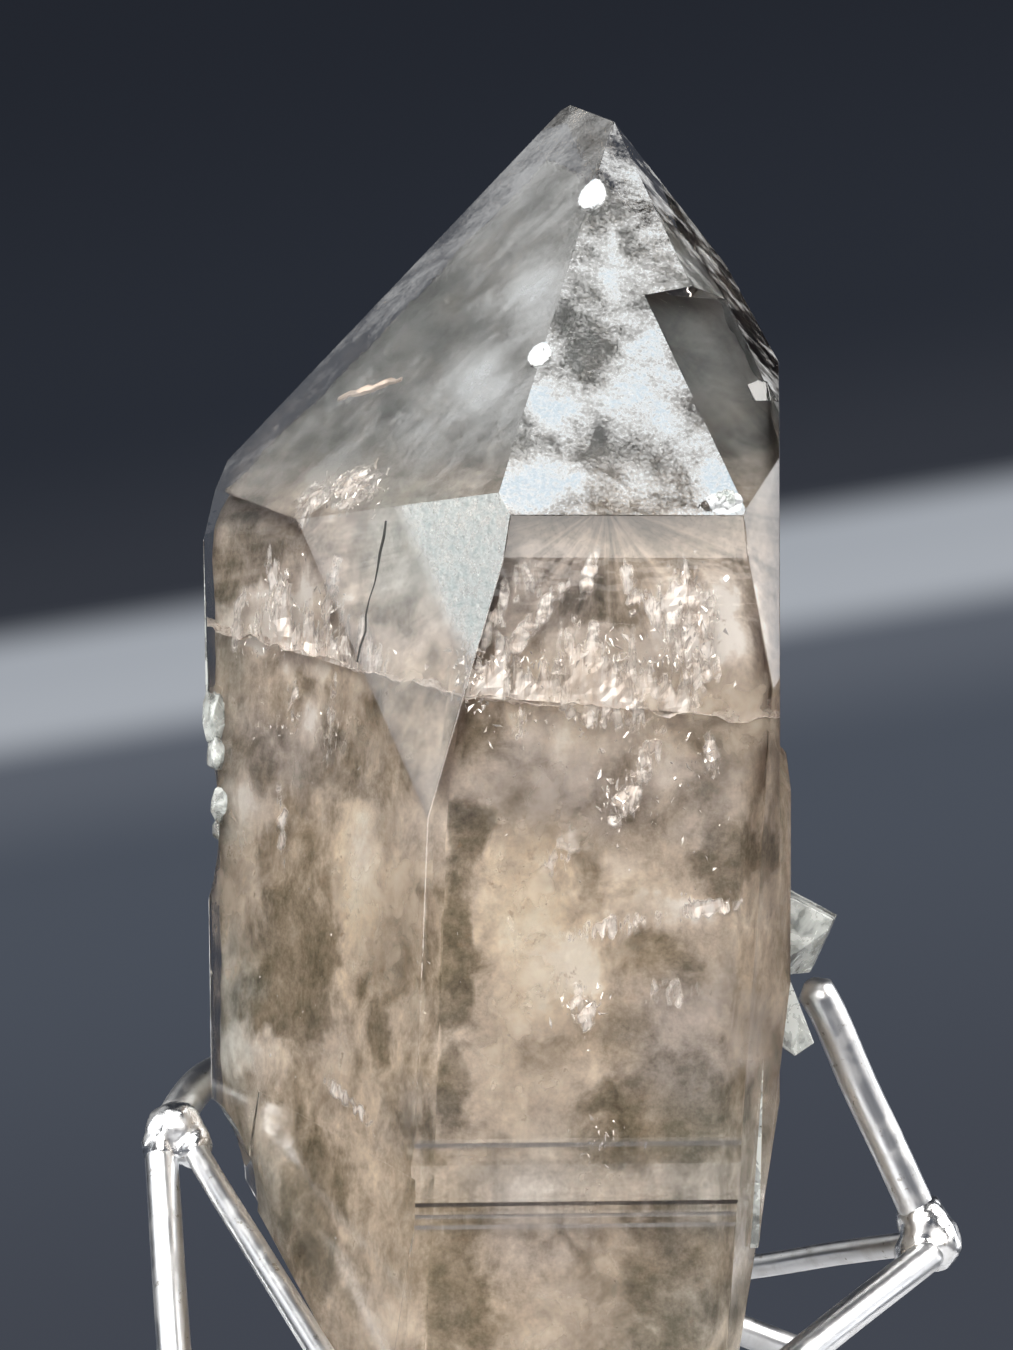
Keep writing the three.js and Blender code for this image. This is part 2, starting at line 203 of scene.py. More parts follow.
class Sheet:
    """A material's node tree, with short calls for the nodes that the finishes share."""

    def __init__(self, name: str) -> None:
        """Makes an empty material with an output node."""
        self.material = bpy.data.materials.new(name)
        self.material.use_nodes = True
        self.tree = self.material.node_tree
        self.tree.nodes.clear()
        self.output = self.node("ShaderNodeOutputMaterial")
        self.place = self.node("ShaderNodeTexCoord").outputs["Object"]

    def node(self, kind: str, **settings: object) -> bpy.types.Node:
        """Adds a node and sets its properties."""
        made = self.tree.nodes.new(kind)
        for name, value in settings.items():
            setattr(made, name, value)
        return made

    def feed(self, socket: Socket, value: object) -> None:
        """Links a socket's value in, or sets it where it is a plain number, vector or colour."""
        value = value.socket if isinstance(value, Field) else value
        if isinstance(value, bpy.types.NodeSocket):
            self.tree.links.new(value, socket)
        elif socket.type == "RGBA":
            socket.default_value = (*value[:3], 1.0)
        else:
            socket.default_value = value

    def vector(self, kind: str, *values: object) -> bpy.types.Node:
        """A Vector Math node of the given kind."""
        made = self.node("ShaderNodeVectorMath", operation=kind)
        for socket, value in zip(made.inputs, values):
            self.feed(socket, value)
        return made

    def total(self, first: Field, *others: object) -> Field:
        """The sum of two or more values, clamped to 0 and 1."""
        for other in others:
            first = first.math("ADD", other, clamp=True)
        return first

    def stretched(self, stretch: Sequence[float], lean: float = 0.0) -> Socket:
        """The place on the piece, first leaned right by degrees and then scaled along each axis."""
        turned = self.node("ShaderNodeMapping", vector_type="TEXTURE")
        turned.inputs["Rotation"].default_value = (0.0, math.radians(lean), 0.0)
        turned.inputs["Scale"].default_value = [1 / factor for factor in stretch]
        self.feed(turned.inputs["Vector"], self.place)
        return turned.outputs[0]

    def noise(
        self, grain: float, detail: float = 3.0, roughness: float = 0.5, distortion: float = 0.0,
        place: Socket | None = None,
    ) -> Field:
        """Noise from 0 to 1 whose lumps are about one grain across, in metres."""
        made = self.node("ShaderNodeTexNoise")
        self.feed(made.inputs["Vector"], place or self.place)
        settings = {"Scale": 1 / grain, "Detail": detail, "Roughness": roughness, "Distortion": distortion}
        for name, number in settings.items():
            made.inputs[name].default_value = number
        return Field(self, made.outputs["Fac"])

    def along(self, direction: Vector, start: Vector, end: Vector) -> Field:
        """A smooth step from 0 to 1 between two places, measured along a direction."""
        far = Field(self, self.vector("DOT_PRODUCT", self.place, direction).outputs["Value"])
        return far.ramp(direction.dot(start), direction.dot(end))

    def rise(self, low: float, high: float) -> Field:
        """A smooth step from 0 at one height to 1 at another, both in the source's millimetres."""
        up = Vector((0, 0, 1 if high > low else -1))
        return self.along(up, put(0, 0, low), put(0, 0, high))

    def blob(self, centre: Vector, size: Sequence[float], core: float = 0.3) -> Field:
        """1 inside an ellipsoid's core, falling to 0 at its surface.

        Args:
            centre: The middle, in the model's frame.
            size: The ellipsoid's half lengths in millimetres. One of 1000 reaches right through.
            core: The share of the size that is all 1.

        Returns:
            The field.
        """
        offset = self.vector("SUBTRACT", self.place, centre).outputs[0]
        scaled = self.vector("MULTIPLY", offset, [1 / (length * MM) for length in size]).outputs[0]
        return Field(self, self.vector("LENGTH", scaled).outputs["Value"]).ramp(1.0, core)

    def attribute(self, name: str) -> Field:
        """The value of a piece's own attribute at each spot."""
        return Field(self, self.node("ShaderNodeAttribute", attribute_name=name).outputs["Fac"])

    def mask(self, face: Face) -> Field:
        """1 on a named face and 0 elsewhere."""
        return self.attribute(face.attribute)

    def bump(self, height: Field, depth: float) -> Socket:
        """A normal from a height of 0 to 1, which stands for a depth in metres."""
        made = self.node("ShaderNodeBump")
        made.inputs["Strength"].default_value = 1.0
        made.inputs["Distance"].default_value = depth
        self.feed(made.inputs["Height"], height)
        return made.outputs["Normal"]

    def inner(self) -> Material:
        """The material, for a piece whose shadow rays the crystal's skin stops anyway."""
        self.material.use_transparent_shadow = False
        return self.material

    def principled(self, **values: object) -> None:
        """Links a Principled shader to the output. Its sockets' names have _ for a space."""
        made = self.node("ShaderNodeBsdfPrincipled")
        for name, value in values.items():
            self.feed(made.inputs[name.replace("_", " ")], value)
        self.tree.links.new(made.outputs[0], self.output.inputs["Surface"])


@dataclass(frozen=True)
class QuartzFinish:
    """The crystal's skin: clear smoky quartz."""

    name: str = "quartz_clear"
    smoke: Colour = (0.62, 0.50, 0.36)
    smoke_density: float = 14.0
    clear: Colour = (0.99, 0.985, 0.97)
    smooth: float = 0.02
    worn: float = 0.12

    def skin(self, sheet: Sheet) -> dict[str, object]:
        """The shader's settings: polished faces with a faint ripple, a little duller towards the foot."""
        ripple = sheet.noise(0.0035, 2.0, 0.5, 0.0, sheet.stretched((1, 1, 2.2)))
        return {
            "Base_Color": self.clear,
            "Roughness": sheet.rise(46, 33).between(self.smooth, self.worn),
            "Transmission_Weight": 1.0,
            "Normal": sheet.bump(ripple, 0.000025),
        }

    def material(self) -> Material:
        """The finished material."""
        sheet = Sheet(self.name)
        sheet.principled(IOR=QUARTZ_IOR, **self.skin(sheet))
        smoke = sheet.node("ShaderNodeVolumeAbsorption")
        smoke.inputs["Color"].default_value = (*self.smoke, 1.0)
        smoke.inputs["Density"].default_value = self.smoke_density
        sheet.tree.links.new(smoke.outputs[0], sheet.output.inputs["Volume"])
        return sheet.inner()


@dataclass(frozen=True)
class FrostFinish(QuartzFinish):
    """The skin on the faces that are frosted in part.

    The chips are a centre and half lengths each. The patches, where the frost is thicker or thinner, are a
    centre's x and z, half a width, half a height and a change of level. All are in the source's millimetres.
    """

    name: str = "quartz_frosted"
    frost: Colour = (0.272, 0.322, 0.362)
    green_frost: Colour = (0.142, 0.200, 0.202)
    blue_frost: Colour = (0.21, 0.285, 0.345)
    chip: Colour = (0.66, 0.68, 0.69)
    grain: float = 0.00028
    patch: float = 0.0042
    chips: tuple[tuple[Place, Place], ...] = (
        ((6.7, 3.4, 103.8), (2.2, 3.0, 2.8)), ((2.3, -7.9, 89.6), (1.8, 3.0, 1.9)),
        ((16.6, -15.4, 77.2), (1.9, 1.6, 1.3)),
    )
    front_patches: tuple[tuple[float, ...], ...] = (
        (2.4, 78.8, 5.2, 3.4, 0.62), (16.6, 78.6, 3.8, 3.6, 0.7), (10.8, 87.0, 4.8, 5.6, 0.36),
        (3.6, 85.6, 2.8, 3.2, 0.4), (6.4, 89.8, 3.6, 3.6, -0.55), (4.6, 92.6, 2.0, 3.0, -0.5),
        (9.2, 80.8, 6.6, 2.2, -0.34), (8.2, 97.0, 1.6, 6.0, 0.25), (7.0, 84.4, 4.0, 1.8, 0.30),
        (4.4, 95.6, 1.4, 3.4, 0.2), (13.4, 83.4, 3.0, 2.6, 0.15), (7.4, 102.0, 5.0, 4.0, -0.18),
    )
    left_patches: tuple[tuple[float, ...], ...] = (
        (-5.4, 92.0, 5.0, 6.0, -0.22), (2.6, 94.0, 3.6, 6.5, 0.26),
        (-2.4, 87.0, 4.2, 5.2, 0.34), (-6.6, 82.6, 5.5, 4, 0.14),
    )

    def front_end(self, sheet: Sheet, grains: Field) -> Field:
        """The frost on the front end face, white in large uneven patches."""
        level = sheet.noise(self.patch, 6.0, 0.68, 0.5).ramp(0.30, 0.70, 0.10, 0.78)
        for x, z, wide, high, change in self.front_patches:
            level = level + sheet.blob(put(x, 0, z), (wide, 1000, high), 0.15) * change
        level = level.math("MAXIMUM", 0.08).math("MINIMUM", 0.94)
        return sheet.mask(Face.FRONT_END) * self.grainy(level, grains, 1.3)

    def left_end(self, sheet: Sheet, grains: Field) -> Field:
        """The thin frost on the left end face, thicker to the right and in leaning wisps."""
        wisps = sheet.noise(0.0040, 6.0, 0.66, 0.3, sheet.stretched((1, 1, 0.6), 45))
        right = sheet.along(Vector((1, 0, 0.35)).normalized(), put(-13, 0, 82), put(6, 0, 90))
        level = sheet.total(right * 0.13, wisps.ramp(0.34, 0.72, -0.08, 0.16))
        for x, z, wide, high, change in self.left_patches:
            level = sheet.total(level, sheet.blob(put(x, 0, z), (wide, 1000, high), 0.1) * change)
        level = level * sheet.rise(77, 84).between(0.45, 1.0)
        return sheet.mask(Face.LEFT_END) * self.grainy(level, grains, 0.34)

    def corner_right(self, sheet: Sheet) -> Field:
        """0 on the left and 1 on the right part of the corner face, with a border that leans left upwards."""
        return sheet.along(Vector((0.91, 0, 0.41)).normalized(), put(-9.2, 0, 77.2), put(-7.6, 0, 77.9))

    def amount(self, sheet: Sheet) -> Field:
        """How far each spot of the skin is frosted.

        Args:
            sheet: The material that is being made.

        Returns:
            A field from 0, clear, to 1, white.
        """
        grains = sheet.noise(self.grain, 3.0, 0.62)
        lines = sheet.noise(0.0012, 5.0, 0.70, 0.1, sheet.stretched((1, 1, 0.10), -25))
        right_end = sheet.mask(Face.RIGHT_END) * lines.ramp(0.46, 0.70) * 0.55

        fall = sheet.along(Vector((0.5, 0, 0.87)), put(-3, 0, 63), put(-3, 0, 68))
        pale = (fall * sheet.noise(0.0010, 4.0, 0.7).ramp(0.3, 0.7, 0.38, 0.80)).math("MAXIMUM", 0.05)
        corner = sheet.mask(Face.CORNER) * self.corner_right(sheet).between(0.03, pale)

        speckle = self.grainy(0.55, grains, 2.2)
        edge = sheet.mask(Face.RIGHT_SIDE) * sheet.rise(70, 75) * sheet.rise(90, 85) * speckle * 0.9
        ends = (self.front_end(sheet, grains), self.left_end(sheet, grains), right_end)
        return sheet.total(*ends, corner, edge, self.chipped(sheet, grains))

    def grainy(self, level: object, grains: Field, contrast: float) -> Field:
        """A level from 0 to 1 with grains in it."""
        change = (grains - 0.5) * contrast
        return change.math("ADD", level, clamp=True).math("POWER", 1.0 + 0.6 * contrast)

    def chipped(self, sheet: Sheet, grains: Field) -> Field:
        """1 in the white chips on the long ridge, with ragged rims."""
        chips = sheet.total(*(sheet.blob(put(*centre), size, 0.5) for centre, size in self.chips))
        return (chips + grains * 0.5).ramp(0.6, 0.8)

    def skin(self, sheet: Sheet) -> dict[str, object]:
        """The shader's settings: clear, or white and rough where it is frosted."""
        frost = self.amount(sheet)
        peel = sheet.noise(0.0007, 2.0, 0.6)
        corner = sheet.mask(Face.CORNER)
        ends = (sheet.mask(Face.FRONT_END) * 0.6, sheet.mask(Face.LEFT_END) * 0.3)
        rough = sheet.total(*ends, corner * self.corner_right(sheet))
        white = sheet.total(corner, sheet.mask(Face.RIGHT_SIDE)).blend(self.frost, self.green_frost)
        white = sheet.mask(Face.LEFT_END).blend(white, self.blue_frost)
        white = self.chipped(sheet, peel).blend(white, self.chip)
        return {
            "Base_Color": frost.blend(self.clear, white),
            "Roughness": frost.between(0.02, 0.5),
            "Transmission_Weight": frost.between(1.0, 0.12),
            "Normal": sheet.bump(peel * rough, 0.00022),
        }


@dataclass(frozen=True)
class GrowthFinish(QuartzFinish):
    """The skin of the small crystals, scales and crusts on the edges, milky white to pale green."""

    name: str = "quartz_milky"
    clear: Colour = (0.86, 0.90, 0.86)
    milk: Colour = (0.80, 0.83, 0.80)

    def skin(self, sheet: Sheet) -> dict[str, object]:
        """The shader's settings: half clear, in patches."""
        milky = sheet.noise(0.0022, 4.0, 0.6, 0.5).ramp(0.32, 0.66, 0.12, 0.75)
        return {
            "Base_Color": milky.blend(self.clear, self.milk),
            "Roughness": milky.between(0.08, 0.4),
            "Transmission_Weight": milky.between(1.0, 0.2),
        }


@dataclass(frozen=True)
class StepFinish(QuartzFinish):
    """The narrow leaning faces of the growth steps, which are duller than the face they are on."""

    name: str = "quartz_step"
    clear: Colour = (1.0, 1.0, 1.0)
    dull: float = 0.25
    clearness: float = 1.0

    def skin(self, sheet: Sheet) -> dict[str, object]:
        """The shader's settings: one tone."""
        return {"Base_Color": self.clear, "Roughness": self.dull, "Transmission_Weight": self.clearness}


class Side(Enum):
    """The face of the crystal that a patch inside it is seen through."""

    BOTH = "both"
    FRONT = "front"
    LEFT = "left"


@dataclass(frozen=True)
class Blotch:
    """A coloured patch of the cloud, seen from the front: a centre and half lengths in source millimetres."""

    side: Side
    x: float
    z: float
    wide: float
    high: float
    amount: float = 1.0

    def at(self, x: float, z: float, side: Side) -> float:
        """How strong the patch is at a place, from 0 to its amount, where the place is on the patch's side."""
        if self.side not in (Side.BOTH, side):
            return 0.0
        far = math.hypot((x - self.x) / self.wide, (z - self.z) / self.high)
        near = min(max((1.0 - far) / 0.85, 0.0), 1.0)
        return self.amount * near * near * (3 - 2 * near)


def blotches(**sides: tuple[tuple[float, ...], ...]) -> tuple[Blotch, ...]:
    """Patches from rows of numbers, given for each side by its name."""
    return tuple(Blotch(Side(side), *row) for side, rows in sides.items() for row in rows)


class Tone(Enum):
    """The cloud's tones that have places of their own, each with its patches."""

    CREAM = blotches(
        both=(
            (1.5, 44, 6, 11), (3, 17, 5, 5, 0.2), (-11, 80, 6, 5, 0.8), (15.4, 68, 4.6, 6, 1.0),
            (-15, 69, 6, 5, 0.5),
        ),
        front=(
            (5, 43, 6, 8, 0.8), (5, 38, 3, 5, 0.4), (-1, 51, 7, 3.4, 0.6), (-1.4, 31, 4, 6, 0.4),
        ),
        left=(
            (-11, 47, 4.4, 11, 1.0), (-9.5, 29, 2.5, 8, 0.6),
        ),
    )
    OLIVE = blotches(
        both=(
            (-19.5, 74, 6, 5, 1.2), (13.5, 90, 4, 5, 0.9),
        ),
        front=(
            (-3.8, 52.4, 4.4, 4.2, 1.5), (-4.6, 43, 3.6, 9.5, 1.7), (-5.2, 33, 3.4, 7, 1.2),
            (-4.8, 16.5, 4.2, 9, 1.6), (13.6, 18.4, 7.0, 9, 1.4), (12.8, 31.4, 7.0, 7.0, 1.5),
            (12.5, 27.8, 8, 1.5, 1.3), (12.5, 23.4, 8, 1.4, 1.3), (16.6, 49.8, 3.6, 5.8, 1.5),
            (-2, 59.6, 3.4, 2.6, 0.8), (-2.6, 17, 3, 8, 0.6), (5.2, 48.8, 2.6, 2.6, 0.6),
            (6.5, 32, 3.4, 2.6, 0.7), (7, 56.4, 3, 2, 0.45),
        ),
        left=(
            (-15.8, 40.4, 6.0, 9.5, 1.6), (-14.2, 21, 4.4, 11, 1.2), (-12, 55, 5, 3, 0.6),
            (-9, 36, 2.2, 5, 0.7), (-19, 58.4, 4, 3.6, 0.9),
        ),
    )
    MAUVE = blotches(
        both=(
            (13.5, 37, 7.5, 9), (5, 56, 12, 6), (-16, 57, 8, 6), (2, 71, 7, 5, 0.8), (-6, 30, 5, 5, 0.6),
            (2, 22, 7, 8, 0.6), (15, 24, 6, 6, 0.6), (15, 55, 5, 6, 0.8),
        ),
    )
    # Pale cloud and painted glow: the patches by the level crack, its veils and the left end face's cracks
    # brighten the cloud where the cracks' reflections shine.
    PALE = blotches(
        both=(
            (6.5, 64.4, 9, 3.6, 1.6), (14.8, 68.2, 5.4, 5.6, 1.5), (-12, 79.4, 6, 4, 1.0),
        ),
        front=(
            (6, 60.6, 11, 5.0, 1.2), (4.6, 56, 4, 4.4, 0.8), (11.4, 45.2, 10, 2.4, 1.1),
            (5.4, 41.8, 5.0, 5.0, 1.0), (2, 25.6, 9, 1.2, 0.5), (8.4, 49.4, 2.6, 3, 0.7),
            (3.6, 20.5, 4.5, 4.5, 0.5), (13, 57.6, 4.6, 3.6, 0.8),
        ),
        left=(
            (-18, 68.6, 8, 3.6, 1.5), (-11.5, 65.4, 8, 4.0, 1.4), (-12, 60.4, 4, 4.4, 0.7),
            (-20, 33.4, 5, 4, 1.0), (-20, 52.6, 5, 4.5, 1.0), (-13.5, 70.4, 4, 5, 0.6),
        ),
    )
    GREY = blotches(
        both=(
            (-22, 66, 4, 9, 0.5), (-6.5, 73, 6.5, 8, 1.2),
        ),
        front=(
            (15.5, 27, 7, 10, 0.6), (14, 13, 8, 8, 0.5), (3, 26, 9, 5, 0.35),
        ),
        left=(
            (-23.4, 52, 4.4, 13, 1.0), (-21.6, 36, 4.6, 12, 1.0), (-20, 22, 6, 9, 0.8),
        ),
    )

    @property
    def attribute(self) -> str:
        """The name of the point attribute that holds how strong the tone is."""
        return "tone_" + self.name.lower()


@dataclass(frozen=True)
class CloudFinish:
    """The growth inside the crystal, mottled cream, tan, mauve and olive."""

    name: str
    seed: float
    warm: Scale = (
        (0.0, (0.07, 0.055, 0.035)), (0.20, (0.19, 0.155, 0.105)), (0.38, (0.36, 0.29, 0.215)),
        (0.60, (0.62, 0.515, 0.41)), (0.80, (0.86, 0.73, 0.57)), (1.0, (0.97, 0.89, 0.74)),
    )
    cool: Scale = (
        (0.0, (0.09, 0.078, 0.065)), (0.22, (0.22, 0.19, 0.165)), (0.42, (0.42, 0.365, 0.325)),
        (0.66, (0.63, 0.555, 0.50)), (0.85, (0.80, 0.725, 0.66)), (1.0, (0.95, 0.90, 0.85)),
    )
    green: Scale = (
        (0.0, (0.06, 0.062, 0.05)), (0.25, (0.20, 0.20, 0.175)), (0.55, (0.44, 0.44, 0.40)),
        (1.0, (0.86, 0.87, 0.83)),
    )
    rust: Colour = (0.34, 0.235, 0.155)
    grey: Colour = (0.20, 0.222, 0.235)
    # dim and grey are painted shade: the core's top is this dark to stand for the dark room seen through the
    # clear quartz.
    dim: Colour = (0.088, 0.098, 0.098)
    dull: float = 0.85
    fan_centre: Vector = put(7.5, 0, 77)
    edge_shift: float = 0.031
    stain_level: float = 0.30

    def mottle(
        self, sheet: Sheet, grain: float, detail: float, roughness: float, distortion: float, stretch: float,
    ) -> Field:
        """Noise that jumps at the upright edge between the front and the left face.

        Args:
            sheet: The material that is being made.
            grain: The size of the lumps, in metres.
            detail: How many finer layers it has.
            roughness: How strong the finer layers are.
            distortion: How far it is bent.
            stretch: What the height is multiplied by before the noise is read.

        Returns:
            The noise, from 0 to 1.
        """
        side = Field(sheet, sheet.vector("DOT_PRODUCT", sheet.place, EDGE_ACROSS).outputs["Value"])
        jump = side.math("GREATER_THAN", EDGE_ACROSS.dot(EDGE_FOOT))
        shift = sheet.node("ShaderNodeCombineXYZ")
        sheet.feed(shift.inputs["X"], self.seed)
        sheet.feed(shift.inputs["Z"], jump * self.edge_shift)
        moved = sheet.node("ShaderNodeMapping")
        moved.inputs["Scale"].default_value = (1.0, 1.0, stretch)
        sheet.feed(moved.inputs["Location"], shift.outputs[0])
        sheet.feed(moved.inputs["Vector"], sheet.place)
        return sheet.noise(grain, detail, roughness, distortion, moved.outputs[0])

    def fan(self, sheet: Sheet) -> Field:
        """Streaks that spread down from one place behind the band."""
        parts = sheet.node("ShaderNodeSeparateXYZ")
        sheet.feed(parts.inputs[0], sheet.vector("SUBTRACT", sheet.place, self.fan_centre).outputs[0])
        down = Field(sheet, parts.outputs["Z"]) * -1.0
        angle = Field(sheet, parts.outputs["X"]).math("ARCTAN2", down)
        place = sheet.node("ShaderNodeCombineXYZ")
        sheet.feed(place.inputs["X"], angle * 0.010)
        sheet.feed(place.inputs["Z"], down * 0.22)
        return sheet.noise(0.0022, 4.0, 0.66, 0.6, place.outputs[0])

    def core(self) -> Material:
        """The closed core: mottled, stained and speckled, with painted shade towards its top."""
        sheet = Sheet(self.name)
        big = sheet.attribute(LARGE_PATCHES) - 0.5
        mottle = self.mottle(sheet, 0.0038, 6.0, 0.62, 0.35, 0.95) - 0.5
        specks = self.mottle(sheet, 0.0007, 3.0, 0.80, 0.0, 1.0) - 0.5
        streaks = self.fan(sheet) - 0.5
        cream = sheet.attribute(Tone.CREAM.attribute)
        mauve = sheet.attribute(Tone.MAUVE.attribute)
        olive = (sheet.attribute(Tone.OLIVE.attribute) + mottle * -1.3).ramp(0.16, 0.90)
        # pale is the pale cloud together with the painted glow of the cracks' reflections.
        pale = (sheet.attribute(Tone.PALE.attribute) + mottle).ramp(0.10, 0.90)
        # Painted shade: from the level crack up, the core is a little darker and cooler, as the clearer quartz
        # there shows the dark room.
        window = sheet.rise(63, 67)
        level = cream * 0.32 + 0.50 - mauve * 0.06 + pale * 0.34 - window * 0.06
        level = level + big * 0.42 + mottle * 1.20
        level = olive.between(level, mottle * 0.8 + self.stain_level) + specks * 0.46
        level = level + streaks * window.between(0.0, 1.3)
        coolness = sheet.total(mauve + 0.10, big * 1.6, window * 0.4, pale * 0.5)
        colour = coolness.blend(level.scale(self.warm), level.scale(self.cool))
        colour = (sheet.attribute(Tone.GREY.attribute) * 0.85).blend(colour, level.scale(self.green))
        # Painted shade: above 73 to 82 mm the core turns a dim mottled grey, standing for the dark room seen
        # through the clear top.
        high = sheet.rise(73, 82)
        smoky = mottle.ramp(-0.34, 0.34).blend(self.dim, self.grey)
        colour = (high * 0.9).blend(colour, smoky)
        spots = self.mottle(sheet, 0.0017, 4.0, 0.66, 0.3, 1.0).ramp(0.60, 0.70)
        rusty = spots * sheet.total(cream, 0.25) * high.between(0.75, 0.0)
        sheet.principled(Base_Color=rusty.blend(colour, self.rust), Roughness=self.dull, Specular_IOR_Level=0.0)
        return sheet.inner()

    def film(self) -> Material:
        """The loose haze over the core, thin in most places and thick in its milky patches."""
        sheet = Sheet(self.name)
        small = self.mottle(sheet, 0.0026, 5.0, 0.58, 0.3, 0.9)
        veil = sheet.attribute(LARGE_PATCHES) * 0.4 + small * 0.6 - sheet.attribute(Tone.OLIVE.attribute) * 0.26
        alpha = veil.ramp(0.42, 0.68, 0.0, 0.46) * sheet.rise(62, 68).between(1.0, 0.16)
        level = small * 1.2 + sheet.attribute(Tone.CREAM.attribute) * 0.16
        coolness = sheet.total(sheet.attribute(Tone.MAUVE.attribute), 0.2)
        colour = coolness.blend(level.scale(self.warm), level.scale(self.cool))
        sheet.principled(Base_Color=colour, Roughness=self.dull, Alpha=alpha, Specular_IOR_Level=0.0)
        return sheet.inner()


@dataclass(frozen=True)
class CrackFinish:
    """A crack's inner wall, which mirrors the light in patches and is closed towards its middle."""

    name: str
    colour: Colour = (1.0, 0.94, 0.89)
    shade: Colour = (0.84, 0.73, 0.65)
    metallic: float = 0.28
    roughness: float = 0.36
    patch: float = 0.0006
    stretch: tuple[float, float, float] = (1.0, 1.0, 0.22)

    def material(self) -> Material:
        """The finished material."""
        sheet = Sheet(self.name)
        streaks = sheet.noise(self.patch, 4.0, 0.66, 0.6, sheet.stretched(self.stretch))
        strength = sheet.attribute(STRENGTH)
        closed = streaks * 1.1 + strength * 0.60
        sheet.principled(
            Base_Color=streaks.ramp(0.38, 0.60).blend(self.shade, self.colour),
            Metallic=self.metallic, Roughness=self.roughness,
            Alpha=closed.ramp(0.66, 1.12) * strength.ramp(0.1, 0.45),
        )
        return sheet.inner()


@dataclass(frozen=True)
class FlakeFinish:
    """Plain small things inside the crystal: bright plates, the dark seam and the tan thread."""

    name: str
    colour: Colour
    metallic: float
    roughness: float

    def material(self) -> Material:
        """The finished material."""
        sheet = Sheet(self.name)
        sheet.principled(Base_Color=self.colour, Metallic=self.metallic, Roughness=self.roughness)
        return sheet.inner()


@dataclass(frozen=True)
class SilverFinish:
    """Bright silver, drawn as rod or melted as solder."""

    name: str
    colour: Colour = (0.86, 0.87, 0.88)
    tarnish: Colour = (0.42, 0.40, 0.37)
    smooth: float = 0.28
    rough: float = 0.44
    lump: float = 0.0026
    relief: float = 0.00003

    def material(self) -> Material:
        """The finished material."""
        sheet = Sheet(self.name)
        lumps = sheet.noise(self.lump, 3.0, 0.55, 0.3)
        fine = sheet.noise(0.0003, 2.0, 0.6)
        dull = lumps.ramp(0.42, 0.7)
        pits = sheet.noise(0.0009, 3.0, 0.7).ramp(0.62, 0.7) * 0.8
        sheet.principled(
            Base_Color=sheet.total(dull * 0.35, pits).blend(self.colour, self.tarnish),
            Metallic=1.0,
            Roughness=dull.between(self.smooth, self.rough),
            Normal=sheet.bump(lumps * 0.8 + fine * 0.08, self.relief),
        )
        return sheet.material


@dataclass(frozen=True)
class FloorFinish:
    """The pale studio floor."""

    colour: Colour = (0.62, 0.63, 0.65)

    def material(self) -> Material:
        """The finished material."""
        sheet = Sheet("studio_floor")
        darker = tuple(0.94 * part for part in self.colour)
        sheet.principled(Base_Color=sheet.noise(0.05, 2.0, 0.5).blend(darker, self.colour), Roughness=0.6)
        return sheet.material


def finished(name: str, shape: Shape, material: Material) -> bpy.types.Object:
    """Turns a finished bmesh into a piece that rides on the stand's body.

    Args:
        name: The piece's name.
        shape: The bmesh, in the model's frame. It is freed.
        material: The piece's finish.

    Returns:
        The piece.
    """
    mesh = bpy.data.meshes.new(name)
    shape.to_mesh(mesh)
    shape.free()
    mesh.materials.append(material)
    piece = bpy.data.objects.new(name, mesh)
    bpy.context.scene.collection.objects.link(piece)
    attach(piece, ROOT_BODY)
    log.info("%s: %d faces", name, len(mesh.polygons))
    return piece


def applied(shape: Shape, *modifiers: tuple[str, dict[str, object]]) -> Shape:
    """Runs modifiers on a bmesh.

    Args:
        shape: The bmesh to change. It is freed.
        *modifiers: Each modifier's type and its settings.

    Returns:
        A new bmesh with the modifiers applied.
    """
    mesh = bpy.data.meshes.new("shaping")
    shape.to_mesh(mesh)
    shape.free()
    holder = bpy.data.objects.new("shaping", mesh)
    bpy.context.scene.collection.objects.link(holder)
    for number, (kind, settings) in enumerate(modifiers):
        modifier = holder.modifiers.new(f"{kind}_{number}", kind)
        for key, value in settings.items():
            setattr(modifier, key, value)
    result = bmesh.new()
    result.from_object(holder, bpy.context.evaluated_depsgraph_get())
    bpy.data.objects.remove(holder)
    bpy.data.meshes.remove(mesh)
    return result


def cut_off(shape: Shape, point: Vector, normal: Vector) -> list[bmesh.types.BMEdge]:
    """Cuts away what lies beyond a plane.

    Args:
        shape: The bmesh to cut.
        point: A point on the plane.
        normal: The way from the plane to what goes.

    Returns:
        The edges on the cut.
    """
    cut = bmesh.ops.bisect_plane(
        shape, geom=[*shape.verts, *shape.edges, *shape.faces], dist=1e-7,
        plane_co=point, plane_no=normal, clear_outer=True,
    )
    return [e for e in cut["geom_cut"] if isinstance(e, bmesh.types.BMEdge)]


@dataclass(frozen=True)
class Skin:
    """How a rough bmesh becomes one closed smooth skin with a soft relief. Lengths are in metres.

    The voxel is the size of its facets, and the rounds are how often it is smoothed. The relief is as high as
    its strength, its lumps are a grain across, and the middle is the share of it that lies inwards.
    """

    voxel: float
    rounds: int
    grain: float
    strength: float
    middle: float
    layers: int = 2

    def over(self, shape: Shape, name: str) -> Shape:
        """A new bmesh with the skin. The given one is freed."""
        texture = bpy.data.textures.new(name + "_relief", "CLOUDS")
        texture.noise_scale = self.grain
        texture.noise_depth = self.layers
        relief = {
            "texture": texture, "strength": self.strength, "mid_level": self.middle, "texture_coords": "LOCAL",
        }
        shape = applied(
            shape,
            ("REMESH", {"mode": "VOXEL", "voxel_size": self.voxel}),
            ("SMOOTH", {"factor": 0.5, "iterations": self.rounds}),
            ("DISPLACE", relief),
        )
        for f in shape.faces:
            f.smooth = True
        return shape


